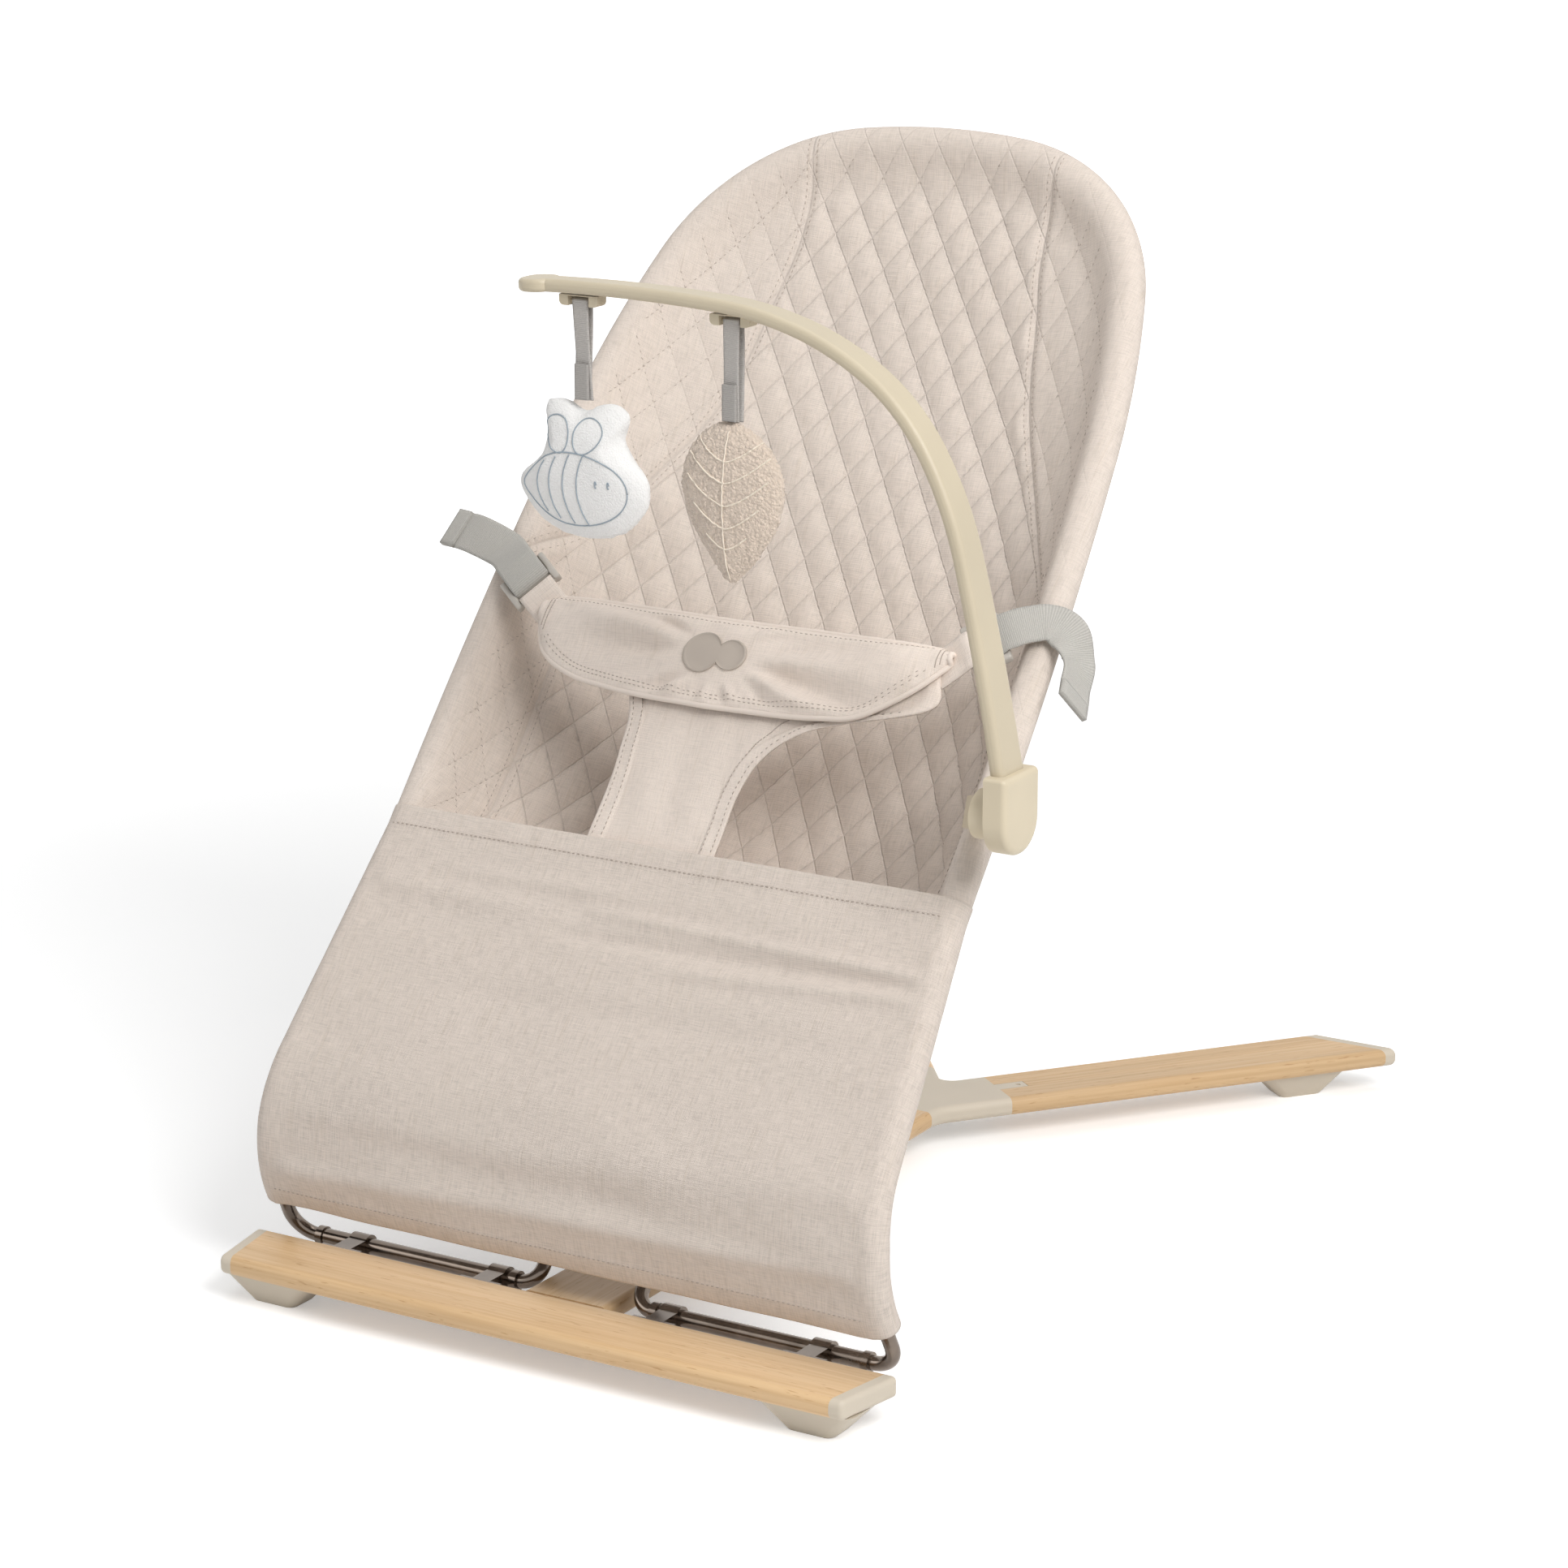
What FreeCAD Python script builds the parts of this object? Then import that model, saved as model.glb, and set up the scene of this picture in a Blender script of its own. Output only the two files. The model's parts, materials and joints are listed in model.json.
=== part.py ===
"""Baby bouncer seat: beech and plastic floor base, steel rod seat frame, fabric sling seat and toy bar.

Millimetres, +X to the sitter's left hand, +Y towards the head end, +Z up.  "Left" and "right" in names
are as seen from the foot end, so right is +X.  Every shape is first placed from the back edge of the
front bar (y = 0), and save() then shifts it so that the origin lies on the floor under the middle of
the base.
"""
import FreeCAD
import Part
import math
import os
from FreeCAD import Vector

# ---- base: boards, caps, feet -------------------------------------------------------------------
BOARD_THICKNESS = 12.0
FOOT_HEIGHT = 17.2
BOARD_EDGE_RADIUS = 4.5
BAR_HALF_BACK = 212.0          # wood, half length along its back edge
BAR_HALF_FRONT = 203.0         # wood, half length along its front edge
BAR_DEPTH = 48.0
CAP_LENGTH = 8.0
CAP_EDGE_RADIUS = 3.0
LEG_CAP_EDGE_RADIUS = 2.0
FOOT_TOP = (62.0, 39.0)        # length, width where a foot meets its board
FOOT_SOLE = (30.0, 23.0)       # length, width on the floor
FRONT_FOOT_X = 183.0
FOOT_SCREW_SPREAD = 9.0
FOOT_SCREW_LENGTH = 20.0
FOOT_SCREW_HEAD_Z = 5.0        # underside of a foot screw's head above the floor
CLIP_SCREW_LENGTH = 16.0
SPINE_HALF_FRONT = 28.6
SPINE_HALF_REAR = 25.0
SPINE_GAP = 0.3                # between the bar's back edge and the spine's end
DOWEL_RADIUS = 3.0
DOWEL_LENGTH = 32.0
DOWEL_X = 13.0
HUB_START_Y = 385.0
HUB_CORNER_RADIUS = 24.0
HUB_NOTCH_RADIUS = 8.0
LEG_FAN_Y = 403.0              # where the two leg centre lines meet
LEG_ANGLE = 38.0               # degrees between a leg and +Y
LEG_WIDTH = 50.0
LEG_START = 60.0               # along a leg's centre line, where the wood begins
LEG_END_Y = 649.0              # the wood's end, cut parallel to X
REAR_FOOT_ALONG = 277.0        # along a leg's centre line, middle of the foot
INSERT_HALF_WIDTH = 12.0
INSERT_IN_HUB = 34.0
INSERT_IN_LEG = 42.0
INSERT_BOTTOM = 1.7            # above the board's underside
INSERT_THICKNESS = 6.0
LATCH_LENGTH = 20.0
LATCH_WIDTH = 10.0
LATCH_THICKNESS = 4.2
BUTTON_RADIUS = 1.5
BUTTON_TRAVEL = 2.0
BUTTON_TOP_DROP = 0.6          # the button's top lies this far under the latch's top
FIT = 0.15                     # clearance of pieces that plug together
RUNNING = 0.06                 # radial clearance of pieces that turn

# ---- rods and pivot -----------------------------------------------------------------------------
PIVOT_Y = 22.0
PIVOT_Z = 23.0
ROD_RADIUS = 4.25
TUBE_RADIUS = 5.0
TUBE_INNER_X = 46.0
TUBE_OUTER_X = 190.0
COLLAR_RADIUS = 6.0
COLLAR_LENGTH = 4.5
ROD_PLUG = 32.0                # length of rod inside a pivot tube
CLIP_X = (59.5, 159.0)
CLIP_WIDTH = 12.0
CLIP_WALL = 2.0
CLIP_FLANGE_HALF = 14.0
CLIP_FLANGE_THICKNESS = 2.5
SCREW_RADIUS = 1.75
SCREW_HEAD_RADIUS = 3.2
SCREW_HEAD_HEIGHT = 1.8

# ---- seat frame, in the plane of its side rails -------------------------------------------------
RECLINE = 50.0                 # degrees above the floor
RAIL_OFFSET = 79.5             # from the pivot axis forward to the plane of the rails
RAIL_TOP = 740.0               # top of the rod loop, along the rail plane from the pivot
RAIL_ARCS = ((392.0, 8.0), (127.0, 67.0), (592.0, 11.0), (3492.0, 4.0))   # radius, turn; from the top
RAIL_KNEE_U = 234.0
RAIL_KNEE_RADIUS = 900.0
RAIL_BEND_X = 203.0
RAIL_BEND_U = 35.4
RAIL_BEND_RADIUS = 76.0
RAIL_HEEL_X = 208.0
RAIL_HEEL_RADIUS = 16.0
LOOP_HALF = 34.2
LOOP_TOP_U = 300.0
LOOP_CORNER_RADIUS = 26.0
LOOP_HEEL_RADIUS = 11.5

# ---- fabric -------------------------------------------------------------------------------------
SOFT_GAP = 0.35
COVER_RADIUS = 8.0
COVER_START = 33.0             # along the rod from the heel corner, where the fabric sleeve begins
PANEL_THICKNESS = 2.0
PANEL_HEM_U = 246.0
SHELL_THICKNESS = 3.0
# along the rails, depth at the middle, squareness of the section
SHELL_STATIONS = ((214.0, 14.0, 3.6), (238.0, 50.0, 4.6), (290.0, 69.2, 5.0), (350.0, 67.5, 5.0),
                  (430.0, 60.0, 4.4), (510.0, 50.0, 3.8), (590.0, 39.0, 2.6), (640.0, 28.0, 2.3),
                  (680.0, 17.0, 2.2), (705.0, 10.0, 2.1), (719.0, 6.0, 2.0), (727.0, 3.6, 2.0),
                  (730.8, 2.6, 2.0))
CHANNEL_RADIUS = 6.0
CHANNEL_HALF = 7.5
FLAP_THICKNESS = 4.0
# across, lower edge, upper edge, depth of the back face
FLAP_STATIONS = ((-139.0, 366.0, 398.0, -12.0), (-118.0, 348.0, 402.0, -15.0), (-70.0, 341.0, 402.0, -20.0),
                 (0.0, 336.0, 400.0, -23.0), (70.0, 341.0, 402.0, -20.0), (118.0, 348.0, 402.0, -15.0),
                 (139.0, 366.0, 398.0, -12.0))
# along the rails, left edge, right edge, depth of the back face
CROTCH_STATIONS = ((228.0, -58.0, 30.0, -5.0), (252.0, -56.0, 32.0, -5.4), (300.0, -52.0, 36.0, -11.0),
                   (352.0, -60.0, 52.0, -16.9))
CROTCH_THICKNESS = 3.0
PATCH_RADII = (13.0, 9.5)
PATCH_X = (-9.0, 10.0)
PATCH_DROP = 30.0              # the patch's middle below the flap's upper edge
PATCH_THICKNESS = 1.0
WEB_WIDTH = 25.0
WEB_THICKNESS = 1.6
SLIDER_LENGTH = 24.0
SLIDER_WIDTH = 33.0
SLIDER_THICKNESS = 5.6
SLIDER_RIM = 3.5
SLIDER_BAR = 4.0
SLIDER_X = 157.0
SLIDER_U = 400.0
SLIDER_DEPTH = -15.0
WEB_CROSS_U = 420.0            # where the side webs cross the rails
WEB_ON_FLAP = 36.0             # from the slider's middle back to the web's end on the flap

# ---- toy bar ------------------------------------------------------------------------------------
CLAMP_U = 302.0
CLAMP_LENGTH = 24.0
CLAMP_RADIUS = 6.1
ARM_THICKNESS = 12.0
BOSS_RADIUS = 14.0
TOY_PIVOT_Y = 103.0
TOY_PIVOT_Z = 323.0
SOCKET_INNER_X = 222.6
SOCKET_THICKNESS = 14.0
SOCKET_RADIUS = 20.0
SOCKET_HEIGHT = 26.0           # above the toy bar's pivot
SOCKET_EDGE_RADIUS = 3.5
BOSS_GAP = 0.4                 # between the clamp's boss and the socket
PIN_RADIUS = 4.0
PIN_REACH = 3.6
ARCH_START = (229.6, 330.0)
ARCH_START_LEAN = 9.4
ARCH_SPANS = ((138.0, 5.0), (60.0, 16.0), (56.0, 26.0), (52.0, 17.0), (50.0, 13.0), (125.0, 6.0))
ARCH_FOOT_SECTION = (8.6, 27.0)    # thickness, width
ARCH_TIP_SECTION = (7.6, 17.0)
PADDLE_RADIUS = 12.5
PADDLE_LENGTH = 22.0
HANGER_SPAN = 26.0
HANGER_WIDTH = 9.0
HANGER_DROP = 4.0              # from the arch's underside to the bar that the ribbon goes round
HANGER_BAR_RADIUS = 1.5
RIBBON_WIDTH = 12.0
RIBBON_THICKNESS = 1.0
RIBBON_LENGTH = 56.0
TOYS = (("bee", -48.0), ("leaf", 52.0))
BEE_SIZE = (86.0, 78.0, 26.0)
LEAF_SIZE = (62.0, 92.0, 20.0)

BOARD_BOTTOM = FOOT_HEIGHT
BOARD_TOP = FOOT_HEIGHT + BOARD_THICKNESS
MIDDLE_Y = (LEG_END_Y + CAP_LENGTH - BAR_DEPTH) / 2.0
ALONG = Vector(0, math.cos(math.radians(RECLINE)), math.sin(math.radians(RECLINE)))
BEHIND = Vector(0, math.sin(math.radians(RECLINE)), -math.cos(math.radians(RECLINE)))
PIVOT = Vector(0, PIVOT_Y, PIVOT_Z)
X = Vector(1, 0, 0)
Z = Vector(0, 0, 1)


# ---- helpers ------------------------------------------------------------------------------------
def save(name, *shapes):
    """Writes one node, moved so that the origin is on the floor under the base's middle."""
    shape = shapes[0] if len(shapes) == 1 else Part.makeCompound(list(shapes))
    placed = shape.copy()
    placed.translate(Vector(0, -MIDDLE_Y, 0))
    solids = placed.Solids
    if not solids or not all(s.isValid() for s in solids):
        raise ValueError("node %s is not a valid solid" % name)
    placed = solids[0] if len(solids) == 1 else Part.makeCompound(solids)
    placed.exportStep(os.path.join("parts", name + ".step"))
    print("%-24s %2d solid(s) %9.0f mm3" % (name, len(solids), placed.Volume))


def mirrored(shape):
    """The shape on the other side of the symmetry plane."""
    return shape.mirror(Vector(0, 0, 0), X)


def both_sides(name, shape):
    """Saves a right-hand shape and its mirror image as two nodes."""
    save(name + "_right", shape)
    save(name + "_left", mirrored(shape))


def rounded_wire(corners, closed=True):
    """A wire through (point, radius) corners, with tangent arcs at the corners that have a radius."""
    count = len(corners)
    ends = []
    for i, (point, radius) in enumerate(corners):
        if radius <= 0 or (not closed and i in (0, count - 1)):
            ends.append((point, point, None))
            continue
        back = (corners[i - 1][0] - point).normalize()
        ahead = (corners[(i + 1) % count][0] - point).normalize()
        half = back.getAngle(ahead) / 2.0
        reach = radius / math.tan(half)
        middle = point + (back + ahead).normalize() * (radius / math.sin(half) - radius)
        ends.append((point + back * reach, point + ahead * reach, middle))
    edges = []
    for i, (start, stop, middle) in enumerate(ends):
        if middle is not None:
            edges.append(Part.Arc(start, middle, stop).toShape())
        if closed or i < count - 1:
            following = ends[(i + 1) % count][0]
            if (following - stop).Length > 1e-6:
                edges.append(Part.makeLine(stop, following))
    return Part.Wire(edges)


def flat_wire(points, height):
    """A closed horizontal outline; each point is (x, y) or (x, y, corner radius)."""
    return rounded_wire([(Vector(p[0], p[1], height), p[2] if len(p) > 2 else 0.0) for p in points])


def plate(points, bottom, thickness):
    """A horizontal plate with the given outline."""
    return Part.Face(flat_wire(points, bottom)).extrude(Vector(0, 0, thickness))


def box(x0, x1, y0, y1, z0, z1):
    return Part.makeBox(x1 - x0, y1 - y0, z1 - z0, Vector(x0, y0, z0))


def rod(path, radius):
    """A round rod along a tangent wire."""
    first = path.OrderedEdges[0]
    start = first.valueAt(first.FirstParameter)
    heading = first.tangentAt(first.FirstParameter)
    if first.Orientation == "Reversed":
        start = first.valueAt(first.LastParameter)
        heading = first.tangentAt(first.LastParameter) * -1
    ring = Part.Wire([Part.makeCircle(radius, start, heading)])
    return path.makePipeShell([ring], True, True)


def round_edges(shape, radius, keep):
    """Fillets the edges for which keep(edge) is true."""
    return shape.makeFillet(radius, [e for e in shape.Edges if keep(e)])


def middle_of(edge):
    return edge.valueAt((edge.FirstParameter + edge.LastParameter) / 2.0)


def is_level(edge):
    """True for an edge that lies in the board's top or bottom plane."""
    heights = [edge.valueAt(t).z for t in (edge.FirstParameter, edge.LastParameter)] + [middle_of(edge).z]
    return any(all(abs(h - level) < 1e-4 for h in heights) for level in (BOARD_BOTTOM, BOARD_TOP))


def seat_point(x, u, depth):
    """x across, u along the rails from the pivot, depth behind the plane of the rails."""
    return PIVOT + X * x + ALONG * u + BEHIND * (depth - RAIL_OFFSET)


# ---- base ---------------------------------------------------------------------------------------
def bar_slice(low, high):
    """The front bar's section out to slanted ends, high beyond the wood's; low None takes both sides."""
    y0, y1 = -BAR_DEPTH, 0.0
    reach = BAR_HALF_BACK + 2 * CAP_LENGTH
    section = rounded_wire([(Vector(-reach, y, z), r) for y, z, r in (
        (y0, BOARD_BOTTOM, BOARD_EDGE_RADIUS), (y0, BOARD_TOP, BOARD_EDGE_RADIUS),
        (y1, BOARD_TOP, BOARD_EDGE_RADIUS / 2), (y1, BOARD_BOTTOM, BOARD_EDGE_RADIUS / 2))])
    blank = Part.Face(section).extrude(X * (2 * reach))
    outline = [(BAR_HALF_FRONT + high, y0 - 1), (BAR_HALF_BACK + high, y1 + 1)]
    if low is None:
        outline += [(-BAR_HALF_BACK - high, y1 + 1), (-BAR_HALF_FRONT - high, y0 - 1)]
    else:
        outline += [(BAR_HALF_BACK + low, y1 + 1), (BAR_HALF_FRONT + low, y0 - 1)]
    return blank.common(plate(outline, 0, BOARD_TOP + 1))


def screw(tip, heading, length):
    """A pan-head screw: its shank ends at tip and heading points from the head to the tip."""
    start = tip - heading * length
    shank = Part.makeCylinder(SCREW_RADIUS, length, start, heading)
    head_start = start - heading * SCREW_HEAD_HEIGHT
    head = Part.makeCylinder(SCREW_HEAD_RADIUS, SCREW_HEAD_HEIGHT, head_start, heading)
    return shank.fuse(head).removeSplitter()


def foot(center, direction):
    """A tapered foot under a board; direction is the heading of its long side."""
    def outline(size, height, corner):
        across = Vector(-direction.y, direction.x, 0)
        signs = ((-1, -1), (1, -1), (1, 1), (-1, 1))
        points = [center + direction * (size[0] / 2 * a) + across * (size[1] / 2 * b) for a, b in signs]
        return rounded_wire([(Vector(p.x, p.y, height), corner) for p in points])
    body = Part.makeLoft([outline(FOOT_SOLE, 0, 5.0), outline(FOOT_TOP, FOOT_HEIGHT, 8.0)], True, True)
    return body


def foot_screws(center, direction):
    places = [center + direction * (FOOT_SCREW_SPREAD * side) for side in (-1, 1)]
    top = FOOT_SCREW_HEAD_Z + SCREW_HEAD_HEIGHT + FOOT_SCREW_LENGTH
    return [screw(Vector(p.x, p.y, top), Z, FOOT_SCREW_LENGTH) for p in places]


def counterbores(center, direction):
    places = [center + direction * (FOOT_SCREW_SPREAD * side) for side in (-1, 1)]
    top = FOOT_SCREW_HEAD_Z + SCREW_HEAD_HEIGHT
    return [Part.makeCylinder(SCREW_HEAD_RADIUS + 2 * FIT, top, Vector(p.x, p.y, 0), Z) for p in places]


def leg_point(along, across, height):
    """A point in the right leg's own directions."""
    angle = math.radians(LEG_ANGLE)
    ahead = Vector(math.sin(angle), math.cos(angle), 0)
    side = Vector(math.cos(angle), -math.sin(angle), 0)
    return Vector(0, LEG_FAN_Y, height) + ahead * along + side * across


def leg_block(along0, along1, half_width, bottom, top):
    """A block in the right leg's own directions."""
    corners = [leg_point(a, b, bottom) for a, b in
               ((along0, -half_width), (along1, -half_width), (along1, half_width), (along0, half_width))]
    return Part.Face(rounded_wire([(c, 0) for c in corners])).extrude(Vector(0, 0, top - bottom))


def leg_section(along0, along1):
    """The right leg's rounded board between two places along it."""
    board = leg_block(along0, along1, LEG_WIDTH / 2, BOARD_BOTTOM, BOARD_TOP)
    ahead = (leg_point(1, 0, 0) - leg_point(0, 0, 0)).normalize()

    def runs_lengthwise(edge):
        return is_level(edge) and abs(abs(edge.tangentAt(edge.FirstParameter).dot(ahead)) - 1) < 1e-6
    return round_edges(board, BOARD_EDGE_RADIUS, runs_lengthwise)


def build_base():
    direction = Vector(1, 0, 0)
    front_place = Vector(FRONT_FOOT_X, -BAR_DEPTH / 2, 0)
    slope = Vector(BAR_HALF_BACK - BAR_HALF_FRONT, BAR_DEPTH, 0).normalize()
    bar = bar_slice(None, 0.0)
    cap = bar_slice(0.0, CAP_LENGTH)
    outer_face = Vector(slope.y, -slope.x, 0)
    rim = Vector(BAR_HALF_BACK + CAP_LENGTH, 0, 0)
    cap = round_edges(cap, CAP_EDGE_RADIUS, lambda e: all(
        abs((v.Point - rim).dot(outer_face)) < 0.35 for v in e.Vertexes))
    screws = foot_screws(front_place, direction)
    screws += [mirrored(s) for s in screws]
    front_foot = foot(front_place, direction)
    for tool in counterbores(front_place, direction) + screws[:2]:
        front_foot = front_foot.cut(tool)

    rear_place = leg_point(REAR_FOOT_ALONG, 0, 0)
    rear_heading = (leg_point(1, 0, 0) - leg_point(0, 0, 0)).normalize()
    rear_foot = foot(rear_place, rear_heading)
    rear_screws = foot_screws(rear_place, rear_heading)
    for tool in counterbores(rear_place, rear_heading) + rear_screws:
        rear_foot = rear_foot.cut(tool)
    rear_screws += [mirrored(s) for s in rear_screws]

    clip_screw_set = build_clips()
    for tool in screws + clip_screw_set:
        bar = bar.cut(tool)
    both_sides("front_bar_cap", cap)
    both_sides("front_foot", front_foot)
    both_sides("rear_foot", rear_foot)
    save("foot_screws", *(screws + rear_screws))
    save("clip_screws", *clip_screw_set)

    spine, hub = build_spine_and_hub()
    dowels = []
    for middle in (0.0, HUB_START_Y):
        for side in (-1, 1):
            start = Vector(side * DOWEL_X, middle - DOWEL_LENGTH / 2, BOARD_BOTTOM + BOARD_THICKNESS / 2)
            dowels.append(Part.makeCylinder(DOWEL_RADIUS, DOWEL_LENGTH, start, Vector(0, 1, 0)))
    for tool in dowels:
        bar = bar.cut(tool)
        spine = spine.cut(tool)
        hub = hub.cut(tool)
    save("front_bar", bar)
    save("spine_dowels", *dowels)
    build_legs(hub, rear_screws)
    save("spine", spine)


def build_clips():
    """Four saddle clips that hold the pivot tubes behind the bar, and their screws."""
    screws = []
    for side, tag in ((-1, "left"), (1, "right")):
        for place, offset in zip(("inner", "outer"), CLIP_X):
            x = side * offset
            ring = Part.makeCylinder(TUBE_RADIUS + CLIP_WALL, CLIP_WIDTH,
                                     Vector(x - CLIP_WIDTH / 2, PIVOT_Y, PIVOT_Z), X)
            block = box(x - CLIP_WIDTH / 2, x + CLIP_WIDTH / 2, 0.0, PIVOT_Y,
                        PIVOT_Z - TUBE_RADIUS, PIVOT_Z + TUBE_RADIUS)
            flange = box(x - CLIP_FLANGE_HALF, x + CLIP_FLANGE_HALF, 0.0, CLIP_FLANGE_THICKNESS,
                         PIVOT_Z - TUBE_RADIUS, PIVOT_Z + TUBE_RADIUS)
            clip = ring.fuse([block, flange]).removeSplitter()
            bore = Part.makeCylinder(TUBE_RADIUS + RUNNING, CLIP_WIDTH + 2,
                                     Vector(x - CLIP_WIDTH / 2 - 1, PIVOT_Y, PIVOT_Z), X)
            clip = clip.cut(bore)
            for reach in (-1, 1):
                sx = x + reach * (CLIP_FLANGE_HALF - SCREW_HEAD_RADIUS - 0.6)
                tip = Vector(sx, CLIP_FLANGE_THICKNESS - CLIP_SCREW_LENGTH, PIVOT_Z)
                fastener = screw(tip, Vector(0, -1, 0), CLIP_SCREW_LENGTH)
                clip = clip.cut(fastener)
                screws.append(fastener)
            save("tube_clip_%s_%s" % (place, tag), clip)
    return screws


def build_spine_and_hub():
    front = SPINE_GAP
    spine = plate([(-SPINE_HALF_FRONT, front), (SPINE_HALF_FRONT, front), (SPINE_HALF_REAR, HUB_START_Y),
                   (-SPINE_HALF_REAR, HUB_START_Y)], BOARD_BOTTOM, BOARD_THICKNESS)
    spine = round_edges(spine, BOARD_EDGE_RADIUS,
                        lambda e: is_level(e) and abs(e.tangentAt(e.FirstParameter).y) > 0.9)
    # hub outline, right half then left half
    inner = leg_point(LEG_START, -LEG_WIDTH / 2, 0)
    outer = leg_point(LEG_START, LEG_WIDTH / 2, 0)
    angle = math.radians(LEG_ANGLE)
    notch_y = LEG_FAN_Y + LEG_WIDTH / 2 / math.sin(angle)
    # outer leg edge meets the spine's side line
    corner_y = outer.y - (outer.x - SPINE_HALF_REAR) / math.tan(angle)
    right = [(SPINE_HALF_REAR, HUB_START_Y), (SPINE_HALF_REAR, corner_y, HUB_CORNER_RADIUS),
             (outer.x, outer.y), (inner.x, inner.y)]
    left = [(-p[0],) + p[1:] for p in reversed(right)]
    hub = plate(right + [(0, notch_y, HUB_NOTCH_RADIUS)] + left, BOARD_BOTTOM, BOARD_THICKNESS)
    ends = [(Vector(0, HUB_START_Y, 0), Vector(0, 1, 0))]
    for side in (-1, 1):
        ends.append((Vector(side * leg_point(LEG_START, 0, 0).x, leg_point(LEG_START, 0, 0).y, 0),
                     Vector(side * math.sin(angle), math.cos(angle), 0)))

    def on_rim(edge):
        point = middle_of(edge)
        return is_level(edge) and all(abs((point - p).dot(d)) > 0.01 or
                                      abs((point - p).dot(Vector(-d.y, d.x, 0))) > LEG_WIDTH / 2 + 1
                                      for p, d in ends)
    hub = round_edges(hub, BOARD_EDGE_RADIUS, on_rim)
    return spine, hub


def build_legs(hub, rear_screws):
    """Rear legs with their inserts, latches in the hub and release buttons."""
    insert_low = BOARD_BOTTOM + INSERT_BOTTOM
    insert_high = insert_low + INSERT_THICKNESS
    pocket_in_hub = leg_block(LEG_START - INSERT_IN_HUB - 1, LEG_START + 1, INSERT_HALF_WIDTH + FIT,
                              insert_low - FIT, insert_high + FIT)
    pocket_in_leg = leg_block(LEG_START - 1, LEG_START + INSERT_IN_LEG, INSERT_HALF_WIDTH,
                              insert_low, insert_high)
    latch_low = BOARD_TOP - LATCH_THICKNESS
    latch = leg_block(LEG_START - 1, LEG_START + LATCH_LENGTH, LATCH_WIDTH / 2, latch_low, BOARD_TOP)
    notch = leg_block(LEG_START - 1, LEG_START + LATCH_LENGTH + 2 * FIT, LATCH_WIDTH / 2 + 2 * FIT,
                      insert_high - 0.01, BOARD_TOP + 1)
    button_at = leg_point(LEG_START + LATCH_LENGTH - LATCH_WIDTH / 2, 0, 0)
    bore = Part.makeCylinder(BUTTON_RADIUS + FIT, BOARD_TOP,
                             Vector(button_at.x, button_at.y, insert_low + 0.6), Z)
    button_high = BOARD_TOP - BUTTON_TOP_DROP
    button_low = insert_low + 0.8 + BUTTON_TRAVEL
    button = Part.makeCylinder(BUTTON_RADIUS, button_high - button_low,
                               Vector(button_at.x, button_at.y, button_low), Z)
    button = round_edges(button, 0.5, lambda e: abs(middle_of(e).z - button_high) < 1e-4)
    insert = leg_block(LEG_START - INSERT_IN_HUB, LEG_START + INSERT_IN_LEG, INSERT_HALF_WIDTH,
                       insert_low, insert_high).cut(bore)

    far = (LEG_END_Y + 3 * CAP_LENGTH - LEG_FAN_Y) / math.cos(math.radians(LEG_ANGLE)) + LEG_WIDTH
    blank = leg_section(LEG_START, far)
    reach = 2 * LEG_END_Y
    wood = blank.common(box(-reach, reach, 0, LEG_END_Y, 0, BOARD_TOP + 1))
    wood = wood.cut(pocket_in_leg).cut(notch)
    for tool in rear_screws[:2]:
        wood = wood.cut(tool)
    cap = blank.common(box(-reach, reach, LEG_END_Y, LEG_END_Y + CAP_LENGTH, 0, BOARD_TOP + 1))
    cap = round_edges(cap, LEG_CAP_EDGE_RADIUS, lambda e: all(
        abs(v.Point.y - LEG_END_Y - CAP_LENGTH) < 0.01 for v in e.Vertexes))
    for shape_side in (latch, mirrored(latch)):
        hub = hub.fuse(shape_side)
    for tool in (pocket_in_hub, bore):
        hub = hub.cut(tool).cut(mirrored(tool))
    save("hub", hub.removeSplitter())
    both_sides("rear_leg", wood)
    both_sides("rear_leg_cap", cap)
    both_sides("leg_insert", insert)
    both_sides("release_button", button)


# ---- rods ---------------------------------------------------------------------------------------
def rail_corners():
    """Corners of the right rail below its arcs, from the plug in the pivot tube upwards."""
    heel = PIVOT + X * RAIL_HEEL_X
    return [(PIVOT + X * (TUBE_OUTER_X - ROD_PLUG), 0.0), (heel, RAIL_HEEL_RADIUS),
            (seat_point(RAIL_BEND_X, RAIL_BEND_U, 0), RAIL_BEND_RADIUS),
            (seat_point(rail_half(RAIL_KNEE_U), RAIL_KNEE_U, 0), RAIL_KNEE_RADIUS)]


def rail_arcs():
    """(start x, start u, radius, start angle, turn) of each arc, from the top middle down the right."""
    x, u, angle = 0.0, RAIL_TOP, 0.0
    spans = []
    for radius, turn in RAIL_ARCS:
        spans.append((x, u, radius, angle, turn))
        a0, a1 = math.radians(angle), math.radians(angle + turn)
        x += radius * (math.sin(a1) - math.sin(a0))
        u -= radius * (math.cos(a0) - math.cos(a1))
        angle += turn
    return spans, x, u


def rail_half(u, inset=0.0):
    """Half distance at u between the rails' centre lines, or between lines set in from them."""
    spans, x_end, u_end = rail_arcs()
    for x, start_u, radius, angle, turn in spans:
        a0, a1 = math.radians(angle), math.radians(angle + turn)
        center_x, center_u = x - radius * math.sin(a0), start_u - radius * math.cos(a0)
        small = radius - inset
        if u >= center_u + small * math.cos(a1):
            return center_x + small * math.sin(math.acos(min(1.0, (u - center_u) / small)))
    return x_end - inset


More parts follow.
